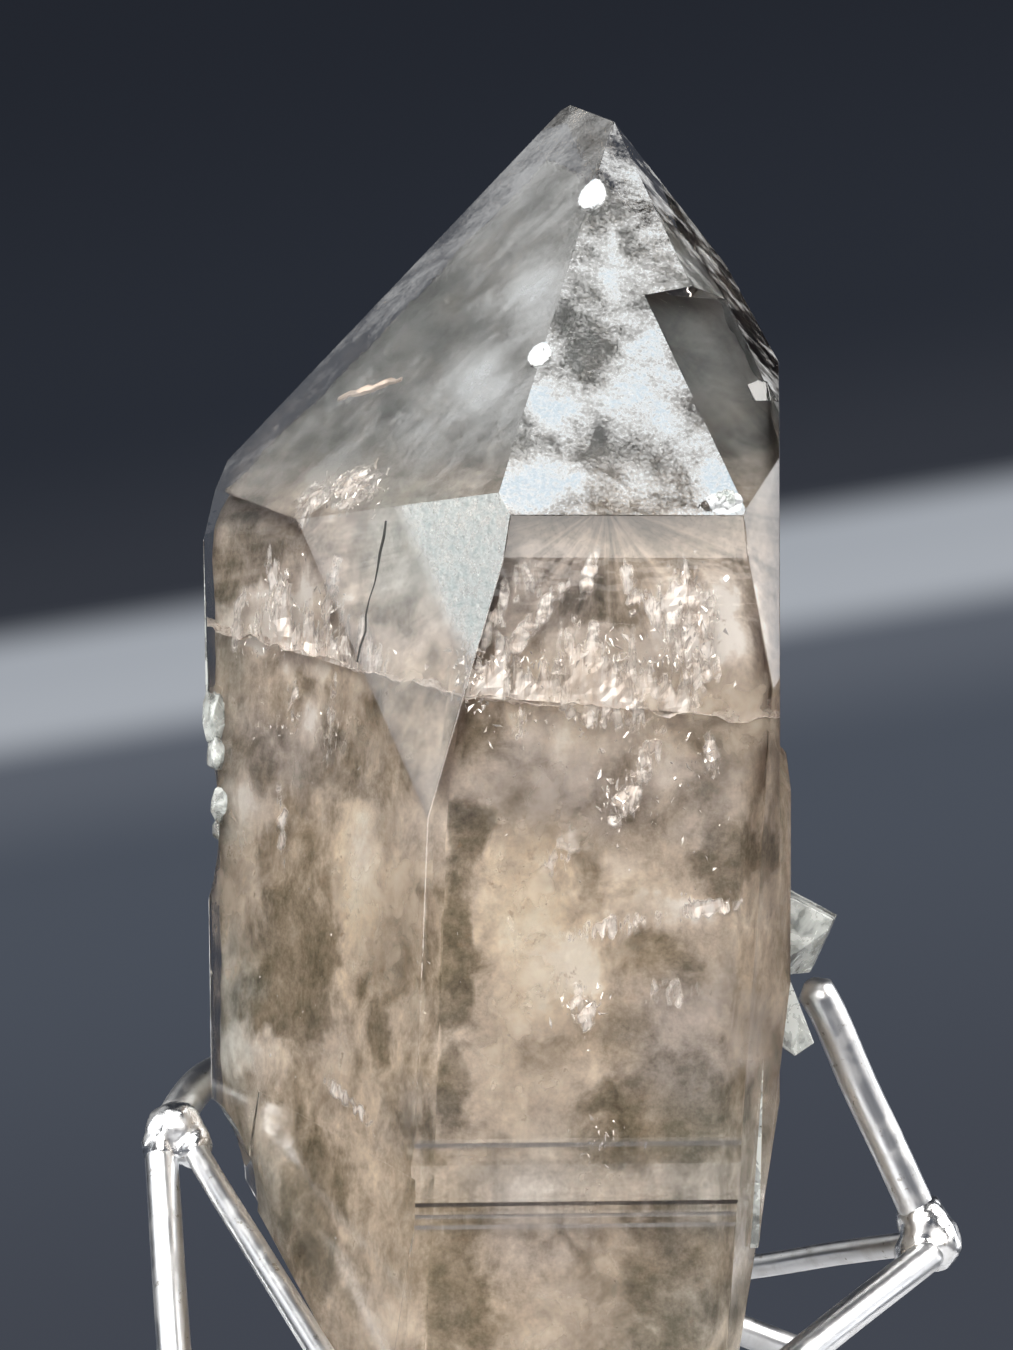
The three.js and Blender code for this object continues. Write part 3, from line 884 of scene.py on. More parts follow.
@dataclass
class CrystalShape:
    """The crystal's flat faces, as planes that inner pieces are cut by."""

    node: bpy.types.Object
    least_area: float = 3e-6
    same_normal: float = 0.9998
    break_plane: tuple[Vector, Vector] = (put(-18.6, 4, 20.9), Vector((-0.96, -0.1, -0.26)).normalized())
    base_plane: tuple[Vector, Vector] = (put(0, 0, 9.2), Vector((0, 0, -1)))
    low_share: float = 0.3
    side_share: float = 0.45
    side_from: float = -0.2
    upright_slope: float = 0.4
    front_slope: float = -0.05
    crown_slope: float = 0.45
    low_faces: tuple[Face, ...] = (Face.TAPER_RIGHT, Face.TAPER_LEFT, Face.TAPER_FRONT, Face.TAPER_BACK)
    planes: list[tuple[Vector, float, float]] = field(default_factory=list)

    def merged(self) -> Shape:
        """A copy of the CAD crystal with its vertices merged and its flat faces whole."""
        mesh = self.node.data.copy()
        if "custom_normal" in mesh.attributes:
            mesh.attributes.remove(mesh.attributes["custom_normal"])
        shape = bmesh.new()
        shape.from_mesh(mesh)
        bpy.data.meshes.remove(mesh)
        bmesh.ops.remove_doubles(shape, verts=shape.verts, dist=2e-6)
        bmesh.ops.dissolve_limit(shape, angle_limit=math.radians(0.6), verts=shape.verts, edges=shape.edges)
        bmesh.ops.recalc_face_normals(shape, faces=shape.faces)
        return shape

    def find_planes(self) -> None:
        """Gathers the plane of each named face, from the largest flat face that looks its way."""
        shape = self.merged()
        for face in Face:
            alike = [f for f in shape.faces if f.normal.dot(face.direction) > self.same_normal]
            largest = max(alike, key=lambda f: f.calc_area(), default=None)
            if largest is None or largest.calc_area() < self.least_area:
                log.warning("no flat face looks the way of %s", face.name)
                continue
            upright = abs(face.direction.z) < self.upright_slope
            share = self.side_share if upright and face.direction.y > self.side_from else 1.0
            share = self.low_share if face in self.low_faces else share
            self.planes.append((face.direction, face.direction.dot(largest.calc_center_median()), share))
        shape.free()
        for point, normal in (self.break_plane, self.base_plane):
            self.planes.append((normal, normal.dot(point), self.low_share))
        log.info("crystal shape: %d planes", len(self.planes))

    def front(self, x: float, z: float) -> float:
        """The model's Y of the crystal's front at a place given in the source's millimetres."""
        spot = put(x, 0, z)
        reach = [
            (depth - normal.x * spot.x - normal.z * spot.z) / normal.y
            for normal, depth, _ in self.planes if normal.y < self.front_slope
        ]
        return max(reach)

    def trim(self, shape: Shape, depth: float, crown: float = 0.0, fill: bool = False) -> None:
        """Cuts a bmesh to what lies at least a depth under the crystal's faces, or less at its lower end.

        Args:
            shape: The bmesh to cut.
            depth: The distance in metres.
            crown: The distance under the end faces, where it isn't the same.
            fill: Whether each cut is closed with a face.
        """
        for normal, distance, share in self.planes:
            under = crown if crown and normal.z > self.crown_slope else share * depth
            edges = cut_off(shape, normal * (distance - under), normal)
            if fill and edges:
                bmesh.ops.contextual_create(shape, geom=edges)

    def body(self, depth: float, crown: float = 0.0) -> Shape:
        """A closed body whose faces lie a depth under the crystal's, and its end faces a crown's depth."""
        shape = bmesh.new()
        bmesh.ops.create_cube(shape, size=0.3)
        self.trim(shape, depth, crown, fill=True)
        bmesh.ops.recalc_face_normals(shape, faces=shape.faces)
        return shape


@dataclass(frozen=True)
class FlakeZone:
    """A place inside the crystal where small plates gather, in the source's millimetres.

    Bearing and lean say which way the plates look, give or take the scatter in degrees.
    """

    x: float
    z: float
    wide: float
    high: float
    count: int
    largest: float = 1.0
    depth: tuple[float, float] = (1.0, 5.0)
    bearing: float = -3.0
    lean: float = 10.0
    scatter: float = 16.0
    slim: tuple[float, float] = (1.2, 3.4)
    roll: float = 0.0


@dataclass(frozen=True)
class Veil:
    """A crumpled sheet of crack inside the crystal. Places and sizes are in the source's millimetres.

    The depth is counted from the crystal's front, square to the sheet. Bearing and lean say which way the
    sheet looks, and the roll turns it in its own plane. Strength is how closed the sheet is at its middle, and
    crumple how deep it folds. A standing sheet ends where it meets the level crack.
    """

    x: float
    z: float
    depth: float
    wide: float
    high: float
    bearing: float = 5.0
    lean: float = 0.0
    roll: float = 0.0
    strength: float = 0.6
    crumple: float = 0.9
    standing: bool = False


class Coat(IntEnum):
    """The finishes of the crystal's skin, by material slot."""

    CLEAR = 0
    FROSTED = 1
    MILKY = 2
    STEP = 3
    SLIVER = 4


@dataclass
class Crystal:
    """The quartz itself: its clear skin, the clouds under it and the cracks."""

    shape: CrystalShape
    edge_round: float = 0.00008
    steps_top: float = put(0, 0, 31.5).z
    steps_foot: float = put(0, 0, 20.5).z
    on_face: float = 0.9994
    ahead: float = 0.985
    steep: float = 0.9
    steepest: float = 0.4
    step_slope: float = 0.17
    sliver_slope: float = 0.3
    chip_reach: float = 0.003
    grown_from: float = 22.3 * MM
    thin_edge: Vector = put(18.9, 0, 27)
    thin_edge_ahead: float = 0.95
    least_bevel_angle: float = 24.0
    most_smooth_angle: float = 20.0
    small_face: float = 8e-6
    film_depth: float = 0.0006
    core_depth: float = 0.0022
    core_crown: float = 0.0030
    film_skin: Skin = Skin(0.0009, 4, 0.006, 0.0006, 0.8, 3)
    core_skin: Skin = Skin(0.0009, 4, 0.006, 0.0014, 0.8, 3)
    crust_skin: Skin = Skin(0.00014, 2, 0.0007, 0.0005, 0.5)
    patch_warps: tuple[tuple[float, float], ...] = ((1.2, 0.16), (1.5, 0.5), (0.8, 1.3))
    crack_facet: float = 0.0005
    crack_wall: float = 0.00004
    crack_clear: float = 0.0007
    crack_tilt_back: float = 8.0
    crack_tilt_right: float = 5.0
    level_wide: float = 0.056
    level_deep: float = 0.046
    level_grain: float = 0.004
    level_crumple: float = 0.0007
    veil_grain: float = 0.0032
    flake_clear: float = 0.0005
    seam_depth: float = 0.00004
    seam_radius: float = 0.00010
    thread_depth: float = 0.0007
    thread_radius: float = 0.00052
    least_strength: float = 0.12
    level_strength: float = 0.85
    crack_middle: Place = (-1.0, 0.0, 64.6)
    crust_zones: tuple[tuple[Place, Place, int, float], ...] = (
        ((-23.7, 7, 60.2), (0.3, 0.5, 1.2), 16, 1.0), ((-23.5, 7, 57.2), (0.2, 0.4, 0.6), 8, 0.8),
        ((-23.0, 7, 52.8), (0.3, 0.4, 0.9), 12, 0.9), ((16.7, -15.5, 77.6), (0.6, 0.3, 0.45), 16, 0.5),
    )
    glint_zones: tuple[FlakeZone, ...] = tuple(FlakeZone(*row) for row in (
        (-2.4, 64.0, 1.7, 2.4, 120, 0.36, (0.5, 1.8), -4, 10, 14, (1.2, 4)),
        (7.6, 65.8, 3.4, 1.6, 60, 0.36, (0.5, 1.6), -4, 10, 12, (1.5, 5)),
        (12, 65.2, 4.0, 1.2, 50, 0.32, (0.5, 1.6), -2, 10, 14, (1.5, 5)),
        (3, 65.0, 5.0, 0.7, 70, 0.3, (0.5, 1.6), -4, 10, 14, (1.2, 5)),
        (14.4, 68.8, 1.8, 3.6, 80, 0.34, (0.5, 1.6), 0, 9, 14, (1.2, 4)),
        (15.4, 58, 0.9, 1.4, 24, 0.4, (0.5, 1.4), 0, 9, 14, (1.2, 4)),
        (8.6, 54.4, 1.8, 2.2, 60, 0.36, (0.5, 1.4), -2, 10, 14, (1.2, 5)),
        (12, 57, 4.5, 4.5, 50, 0.28, (0.5, 1.6), 0, 9, 16, (1.2, 5)),
        (4, 60.4, 5.5, 2.6, 50, 0.26, (0.5, 1.6), -3, 9, 16, (1.2, 5)),
        (-11.8, 78.6, 2.6, 2.0, 80, 0.42, (0.6, 2.6), -30, 30, 16, (1.2, 5)),
        (-18, 70, 2.2, 3.0, 80, 0.28, (0.8, 2.2), -42, 10, 14, (2.0, 7), 16),
        (-13.4, 69, 1.0, 2.6, 60, 0.26, (0.8, 2.2), -42, 10, 14, (2.0, 7)),
        (-15.5, 66.0, 5.5, 0.6, 90, 0.24, (0.8, 2.2), -42, 10, 14, (2.0, 7)),
        (-15, 60, 4.5, 3.0, 60, 0.2, (0.8, 2.2), -42, 10, 14, (2.0, 7)),
        (5.8, 39, 1.8, 1.4, 40, 0.34, (0.5, 1.2), -3, 10, 12, (1.2, 5)),
        (7, 29, 1.6, 1.8, 24, 0.26, (0.5, 1.2), 0, 9, 12, (1.2, 5)),
        (-4.5, 92, 0.5, 0.7, 6, 0.5, (0.4, 0.8), -30, 35), (3, 40, 12, 22, 90, 0.16),
        (-15, 38, 6, 20, 60, 0.16, (1.0, 5.0), -42), (15.5, 46.6, 2.6, 1.0, 26, 0.26),
        (14.5, 52, 2.5, 9, 30, 0.24),
    ))
    veils: tuple[Veil, ...] = tuple(Veil(*row) for row in (
        (13.8, 69.0, 1.3, 6, 10, 4, 2, 8, 0.85, 0.4), (14.2, 65.6, 1.1, 5, 8, 4, 2, 20, 0.85, 0.4),
        (7.0, 66.0, 1.1, 8, 15, 4, 1, 0, 1.15, 0.4, True),
        (11.4, 65.0, 1.3, 8, 10, 5, 1, 0, 1.0, 0.4, True), (2.8, 66.0, 1.5, 8, 11, 3, 1, 0, 1.0, 0.4, True),
        (-1.8, 66.0, 1.0, 5, 12, 4, 1, 0, 1.1, 0.3, True),
        (9.0, 66.0, 1.5, 11, 9, 4, 1, 0, 0.95, 0.4, True), (2.4, 68.4, 1.2, 2.0, 13, 4, 2, -40, 0.8, 0.2),
        (-0.8, 68.6, 1.5, 1.6, 9, 4, 2, -24, 0.7, 0.2), (1.2, 71.2, 1.6, 5, 5, 4, 2, 30, 0.5, 0.3),
        (9.4, 70.6, 1.3, 1.8, 8, 5, 2, 16, 0.72, 0.2), (6.2, 71.4, 1.4, 1.6, 7, 5, 2, -14, 0.66, 0.2),
        (11.4, 68.4, 1.4, 1.8, 9, 5, 2, 30, 0.7, 0.2), (-15.5, 68.0, 1.0, 20, 9, -54, 3, 0, 1.1, 0.4, True),
        (-12, 67.0, 1.3, 14, 8, -54, 3, 0, 1.0, 0.4, True), (-18, 71, 1.1, 3, 10, -54, 3, 24, 0.85, 0.3),
        (-13.6, 70.2, 1.0, 2.6, 9, -54, 3, -14, 0.9, 0.3), (-21.2, 68.6, 1.0, 3, 7, -55, 3, -12, 0.8, 0.4),
        (-11.6, 78.4, 1.6, 8, 6, -44, 37, -12, 0.8, 0.5), (-15.0, 77.4, 1.6, 5, 6, -45, 37, 30, 0.7, 0.5),
        (9.0, 54.6, 1.0, 3.0, 6, 4, 1, -30, 0.75, 0.4), (15.6, 58, 1.0, 2.0, 5, 5, 1, 8, 0.8, 0.3),
        (7.4, 61.2, 1.1, 11, 4, 5, 1, -10, 0.7, 0.3), (10.6, 57.4, 1.2, 2.4, 9, 5, 1, -24, 0.7, 0.3),
        (1.0, 60.4, 1.1, 2.0, 7, 5, 1, 6, 0.55, 0.2), (4.2, 50.6, 1.1, 3.4, 7, 5, 1, -26, 0.5, 0.3),
        (-13.4, 60, 1.0, 2.2, 11, -54, 2, -8, 0.66, 0.25), (-16.4, 62, 1.1, 3, 6, -54, 2, 18, 0.55, 0.25),
        (15.0, 46.2, 0.9, 8, 1.8, 8, 1, 6, 0.95, 0.15), (8.0, 44.8, 1.2, 12, 2.6, 5, 1, 10, 0.55, 0.2),
        (5.8, 38.8, 0.9, 3.4, 5, 4, 1, 14, 0.62, 0.3), (12.4, 40, 1.2, 7, 4, 5, 1, 10, 0.45, 0.25),
        (-17.4, 52, 1.1, 3, 10, -54, 2, 8, 0.55, 0.3), (-12, 31, 1.0, 12, 1.8, -54, 2, -24, 0.7, 0.15),
    ))

    def build(self) -> None:
        """Makes every piece of the crystal."""
        self.skin()
        self.clouds()
        self.level_crack()
        self.veil_sheets()
        self.flakes("glints", self.glint_zones, 7, FlakeFinish("glint", (0.98, 0.91, 0.85), 0.6, 0.26))
        self.dark_seam()
        self.tan_thread()
        self.crust()

    def coat(self, f: bmesh.types.BMFace) -> Coat:
        """The finish that a face of the skin takes.

        Args:
            f: The face.

        Returns:
            The finish.
        """
        middle = f.calc_center_median()
        frosted = any(f.normal.dot(face.direction) > self.on_face for face in MASKED_FACES)
        grown = abs(middle.x - SOURCE_ORIGIN.x) > self.grown_from
        if grown and f.calc_area() < 4 * self.small_face and not frosted:
            return Coat.MILKY
        if frosted or any((middle - put(*centre)).length < self.chip_reach for centre, _ in FrostFinish.chips):
            return Coat.FROSTED
        ahead = f.normal.dot(Face.FRONT.direction)
        if self.steps_foot < middle.z < self.steps_top and self.steepest < ahead < self.ahead:
            # The steep slivers take the coat with painted shade.
            if ahead < self.steep and abs(f.normal.z) > self.sliver_slope:
                return Coat.SLIVER
            if f.normal.z > self.step_slope:
                return Coat.STEP
        if middle.x > self.thin_edge.x and middle.z < self.thin_edge.z and -f.normal.y > self.thin_edge_ahead:
            return Coat.MILKY
        return Coat.CLEAR

    def skin(self) -> None:
        """The clear outer body, which stands for the CAD crystal, with a finish for each kind of face."""
        shape = self.shape.merged()
        for face in MASKED_FACES:
            layer = shape.faces.layers.float.new(face.attribute)
            for f in shape.faces:
                f[layer] = float(f.normal.dot(face.direction) > self.on_face)
        for f in shape.faces:
            f.smooth = f.calc_area() < self.small_face
            f.material_index = self.coat(f)
        weight = shape.edges.layers.float.new("bevel_weight_edge")
        for e in shape.edges:
            angle = math.degrees(e.calc_face_angle(0.0))
            e.smooth = len(e.link_faces) == 2 and angle < self.most_smooth_angle
            level = all(self.steps_foot < v.co.z < self.steps_top for v in e.verts)
            stepped = level and any(f.normal.dot(Face.FRONT.direction) > self.steep for f in e.link_faces)
            e[weight] = float(angle > self.least_bevel_angle and not stepped)
        bevel = {"width": self.edge_round, "segments": 2, "limit_method": "WEIGHT", "use_clamp_overlap": False}
        piece = finished("crystal_skin", applied(shape, ("BEVEL", bevel)), QuartzFinish().material())
        # Painted shade: the steep slivers of the growth steps get a dark brown, half clear coat for the thin
        # dark lines that the steps show.
        sliver = StepFinish("quartz_sliver", clear=(0.36, 0.31, 0.26), clearness=0.5)
        for finish in (FrostFinish(), GrowthFinish(), StepFinish(), sliver):
            piece.data.materials.append(finish.material())
        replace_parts(piece, "crystal")

    def clouds(self) -> None:
        """The milky growth inside: a film of haze over a closed core."""
        film = self.film_skin.over(self.shape.body(self.film_depth), "cloud_film")
        self.tint(film, 1000 * self.film_depth)
        finished("cloud_film", film, CloudFinish("quartz_cloud_film", 5 * self.film_depth).film())
        core = self.core_skin.over(self.shape.body(self.core_depth, self.core_crown), "cloud_core")
        self.tint(core, 1000 * self.core_depth)
        finished("cloud_core", core, CloudFinish("quartz_cloud_core", 5 * self.core_depth).core())

    def tint(self, shape: Shape, seed: float) -> None:
        """Stores how strong each tone is at each vertex of a cloud, with the patches' rims made uneven.

        Args:
            shape: The cloud.
            seed: A number that sets its large patches apart from another cloud's.
        """
        layers = [(shape.verts.layers.float.new(tone.attribute), tone.value) for tone in Tone]
        patches = shape.verts.layers.float.new(LARGE_PATCHES)
        for v in shape.verts:
            v[patches] = 0.5 + 0.42 * noise.fractal(v.co * 95 + Vector((seed, 0, 3 * seed)), 0.8, 2.1, 3)
            side = Side.FRONT if EDGE_ACROSS.dot(v.co - EDGE_FOOT) > 0 else Side.LEFT
            spot = (v.co - SOURCE_ORIGIN) / MM
            spot += sum((far * noise.noise_vector(spot * often) for far, often in self.patch_warps), Vector())
            for layer, patch_list in layers:
                v[layer] = max(blotch.at(spot.x, spot.z, side) for blotch in patch_list)

    def crumpled(self, plate: Matrix, wide: float, high: float, grain: float, depth: float) -> Shape:
        """A crumpled sheet that is cut to the inside of the crystal.

        Args:
            plate: Its middle and its axes. It is flat across the third.
            wide: Its length along the first axis, in metres.
            high: Its length along the second axis, in metres.
            grain: The size of its crumples, in metres.
            depth: How far they stand out, in metres.

        Returns:
            The sheet, with a small thickness.
        """
        shape = bmesh.new()
        across, up = int(wide / self.crack_facet), int(high / self.crack_facet)
        bmesh.ops.create_grid(shape, x_segments=across, y_segments=up, size=0.5)
        bmesh.ops.scale(shape, vec=(wide, high, 1), verts=shape.verts)
        bmesh.ops.transform(shape, matrix=plate, verts=shape.verts)
        out = plate.to_3x3() @ Vector((0, 0, 1))
        for v in shape.verts:
            slide = noise.noise_vector(v.co / self.crack_facet / 3) * self.crack_facet * 0.45
            v.co += slide + out * depth * noise.fractal(v.co / grain, 0.7, 2.1, 4)
        self.shape.trim(shape, self.crack_clear)
        bmesh.ops.solidify(shape, geom=shape.faces[:], thickness=self.crack_wall)
        return shape

    def crack_tilt(self) -> Matrix:
        """How the level crack is turned."""
        back = Matrix.Rotation(math.radians(self.crack_tilt_back), 3, "X")
        return back @ Matrix.Rotation(math.radians(self.crack_tilt_right), 3, "Y")

    def level_crack(self) -> None:
        """The healed crack that crosses the crystal two thirds of the way up."""
        plate = Matrix.Translation(put(*self.crack_middle)) @ self.crack_tilt().to_4x4()
        shape = self.crumpled(plate, self.level_wide, self.level_deep, self.level_grain, self.level_crumple)
        layer = shape.verts.layers.float.new(STRENGTH)
        for v in shape.verts:
            v[layer] = self.level_strength
        finish = CrackFinish("crack_wall", stretch=(1.0, 1.0, 1.0))
        finished("level_crack", shape, finish.material())

    def flame(self, veil: Veil, flat: Vector, spot: Vector) -> float:
        """How closed a standing sheet is: bright at its foot, with an uneven row of tongues above.

        Args:
            veil: The sheet.
            flat: The spot's place on the sheet, from its middle.
            spot: The spot's place in the model's frame.

        Returns:
            The strength, from 0.
        """
        up = self.crack_tilt() @ Vector((0, 0, 1))
        height = up.dot(spot - put(*self.crack_middle)) / MM
        jagged = abs(noise.fractal(Vector((spot.x * 420, 7.0 * veil.x, 0.0)), 0.6, 2.3, 4))
        top = 0.5 * veil.high * (0.30 + 1.5 * jagged)
        across = min(max(1.6 - abs(flat.x) * 3.2 / (veil.wide * MM), 0.0), 1.0)
        return veil.strength * across * min(max(1.35 - height / top, 0.0), 1.0)

    def veil_sheet(self, veil: Veil) -> Shape:
        """One crumpled crack, with how closed it is stored at each vertex.

        Args:
            veil: The crack's place and size.

        Returns:
            The sheet.
        """
        middle = put(veil.x, 0, veil.z)
        way = facing(veil.bearing, veil.lean)
        middle.y = self.shape.front(veil.x, veil.z) - veil.depth * MM / way.y
        look = way.to_track_quat("Z", "Y").to_matrix().to_4x4()
        plate = Matrix.Translation(middle) @ look @ Matrix.Rotation(math.radians(veil.roll), 4, "Z")
        sheet = self.crumpled(plate, veil.wide * MM, veil.high * MM, self.veil_grain, veil.crumple * MM)
        if veil.standing:
            cut_off(sheet, put(*self.crack_middle), self.crack_tilt() @ Vector((0, 0, -1)))
        layer = sheet.verts.layers.float.new(STRENGTH)
        back = plate.inverted()
        for v in sheet.verts:
            flat = back @ v.co
            if veil.standing:
                v[layer] = self.flame(veil, flat, v.co)
                continue
            far = math.hypot(2 * flat.x / (veil.wide * MM), 2 * flat.y / (veil.high * MM))
            ragged = 0.45 + 1.5 * abs(noise.fractal(v.co * 800, 0.6, 2.1, 3))
            v[layer] = veil.strength * ragged * min(max(1.6 - 1.6 * far, 0.0), 1.0)
        empty = [f for f in sheet.faces if all(v[layer] < self.least_strength for v in f.verts)]
        bmesh.ops.delete(sheet, geom=empty, context="FACES")
        return sheet

    def veil_sheets(self) -> None:
        """The crumpled cracks that stand on the level one and under the faces."""
        shape = bmesh.new()
        for veil in self.veils:
            sheet = self.veil_sheet(veil)
            part = bpy.data.meshes.new("veil")
            sheet.to_mesh(part)
            sheet.free()
            shape.from_mesh(part)
            bpy.data.meshes.remove(part)
        finished("veils", shape, CrackFinish("veil_wall").material())

    def flakes(self, name: str, zones: Iterable[FlakeZone], seed: int, finish: FlakeFinish) -> None:
        """Small plates scattered through some zones.

        Args:
            name: The piece's name.
            zones: Where they gather.
            seed: The seed of their scatter.
            finish: Their finish.
        """
        dice = random.Random(seed)
        shape = bmesh.new()
        for zone in zones:
            for _ in range(zone.count):
                x = zone.x + dice.gauss(0, 0.55) * zone.wide
                z = zone.z + dice.gauss(0, 0.55) * zone.high
                place = put(x, 0, z)
                place.y = self.shape.front(x, z) + dice.uniform(*zone.depth) * MM
                turned, tipped = dice.gauss(0, zone.scatter), dice.gauss(0, zone.scatter)
                look = facing(zone.bearing + turned, zone.lean + tipped)
                if all(n.dot(place) < far - self.flake_clear for n, far, _ in self.shape.planes):
                    self.flake(shape, dice, place, look, zone)
        finished(name, shape, finish.material())

    def flake(
        self, shape: Shape, dice: random.Random, place: Vector, look: Vector, zone: FlakeZone
    ) -> None:
        """One thin plate with an uneven rim.

        Args:
            shape: The bmesh that it goes into.
            dice: The source of chance.
            place: Its middle.
            look: The way that its flat side looks.
            zone: The zone that it is in, with its size and its slimness.
        """
        roll = Matrix.Rotation(math.radians(zone.roll) + dice.gauss(0, 0.6), 4, "Z")
        turn = look.to_track_quat("Z", "Y").to_matrix().to_4x4() @ roll
        size = (0.2 + 0.8 * dice.random() ** 2) * zone.largest * MM
        long = dice.uniform(*zone.slim)
        scale = Matrix.Diagonal((size / long ** 0.5, size * long ** 0.5, 0.00005, 1))
        spin = Matrix.Rotation(dice.uniform(0, 6.3), 4, "Z")
        made = bmesh.ops.create_cone(
            shape, cap_ends=True, segments=dice.choice((3, 3, 4)), radius1=1.0, radius2=0.8, depth=1.0,
            matrix=Matrix.Translation(place) @ turn @ scale @ spin,
        )
        for v in made["verts"]:
            v.co += Vector([dice.uniform(-0.3, 0.3) * size / long for _ in range(3)])

    def crust(self) -> None:
        """The white crust of scales on the left edge and of grains at the front end face's lower corner."""
        shape = bmesh.new()
        dice = random.Random(23)
        for centre, spread, count, largest in self.crust_zones:
            for _ in range(count):
                spot = put(*(middle + dice.uniform(-1, 1) * far for middle, far in zip(centre, spread)))
                turn = Matrix.Rotation(dice.uniform(0, 3), 4, Vector((dice.random(), dice.random(), 1)))
                size = [largest * dice.uniform(0.3, 1.0) * MM for _ in range(3)]
                place = Matrix.Translation(spot) @ turn @ Matrix.Diagonal((*size, 1))
                bmesh.ops.create_cube(shape, size=1.0, matrix=place)
        shape = self.crust_skin.over(shape, "crust")
        finish = GrowthFinish("quartz_crust", milk=(0.70, 0.72, 0.70))
        finished("edge_crust", shape, finish.material())

    def dark_seam(self) -> None:
        """The dark crack line down the corner face."""
        start, end = put(-9.3, 0, 76), put(-11.5, 0, 65)
        steps = 9
        dice = random.Random(3)
        shape = bmesh.new()
        spots = []
        for step in range(steps + 1):
            spot = start.lerp(end, step / steps)
            spot.x += dice.uniform(-0.00015, 0.00015)
            normal, distance, _ = next(p for p in self.shape.planes if p[0].dot(Face.CORNER.direction) > 0.9999)
            spot.y = (distance - self.seam_depth - normal.x * spot.x - normal.z * spot.z) / normal.y
            spots.append(spot)
        tube(shape, spots, self.seam_radius, 6, lambda t: 1.0 + 0.6 * math.sin(9 * t) * (1 - t))
        finish = FlakeFinish("dark_seam", (0.02, 0.02, 0.018), 0.0, 0.7)
        finished("dark_seam", shape, finish.material())

    def tan_thread(self) -> None:
        """The tan thread of foreign mineral under the left end face."""
        shape = bmesh.new()
        dice = random.Random(11)
        spots = []
        for step in range(12):
            x, z = -13.6 + 0.48 * step, 86.4 + 0.13 * step + dice.uniform(-0.15, 0.15)
            spot = put(x, 0, z)
            spot.y = self.shape.front(x, z) + self.thread_depth
            spots.append(spot)
        tube(
            shape, spots, self.thread_radius, 8,
            lambda t: 0.45 + 0.5 * math.sin(math.pi * t) + 0.12 * math.sin(19 * t),
        )
        finish = FlakeFinish("tan_thread", (0.50, 0.40, 0.33), 0.0, 0.5)
        finished("tan_thread", shape, finish.material())


def tube(
    shape: Shape, spots: Sequence[Vector], radius: float, sides: int,
    swell: Callable[[float], float] = lambda t: 1.0,
) -> None:
    """Adds a round bar along a line of places, closed at both ends.

    Args:
        shape: The bmesh that it goes into.
        spots: The places along its middle.
        radius: Its radius in metres.
        sides: How many sides it has.
        swell: What the radius is multiplied by, from 0 at the start to 1 at the end.
    """
    rings = []
    for number, spot in enumerate(spots):
        before, after = spots[max(number - 1, 0)], spots[min(number + 1, len(spots) - 1)]
        turn = (after - before).to_track_quat("Z", "Y").to_matrix().to_4x4()
        ring = bmesh.ops.create_circle(
            shape, segments=sides, radius=radius * swell(number / (len(spots) - 1)),
            matrix=Matrix.Translation(spot) @ turn,
        )["verts"]
        rings.append(list(dict.fromkeys(e for v in ring for e in v.link_edges)))
    for first, second in zip(rings, rings[1:]):
        bmesh.ops.bridge_loops(shape, edges=[*first, *second])
    for ring in (rings[0], rings[-1]):
        bmesh.ops.contextual_create(shape, geom=ring)
    bmesh.ops.recalc_face_normals(shape, faces=shape.faces)


@dataclass(frozen=True)
class Rod:
    """One silver rod, with the places along its middle in the source's millimetres."""

    name: str
    radius: float
    spots: tuple[Place, ...]
    wave: float = 0.12


@dataclass(frozen=True)
class Solder:
    """One joint of melted silver, as beads: a centre and half lengths in the source's millimetres."""

    name: str
    beads: tuple[tuple[Place, Place], ...]


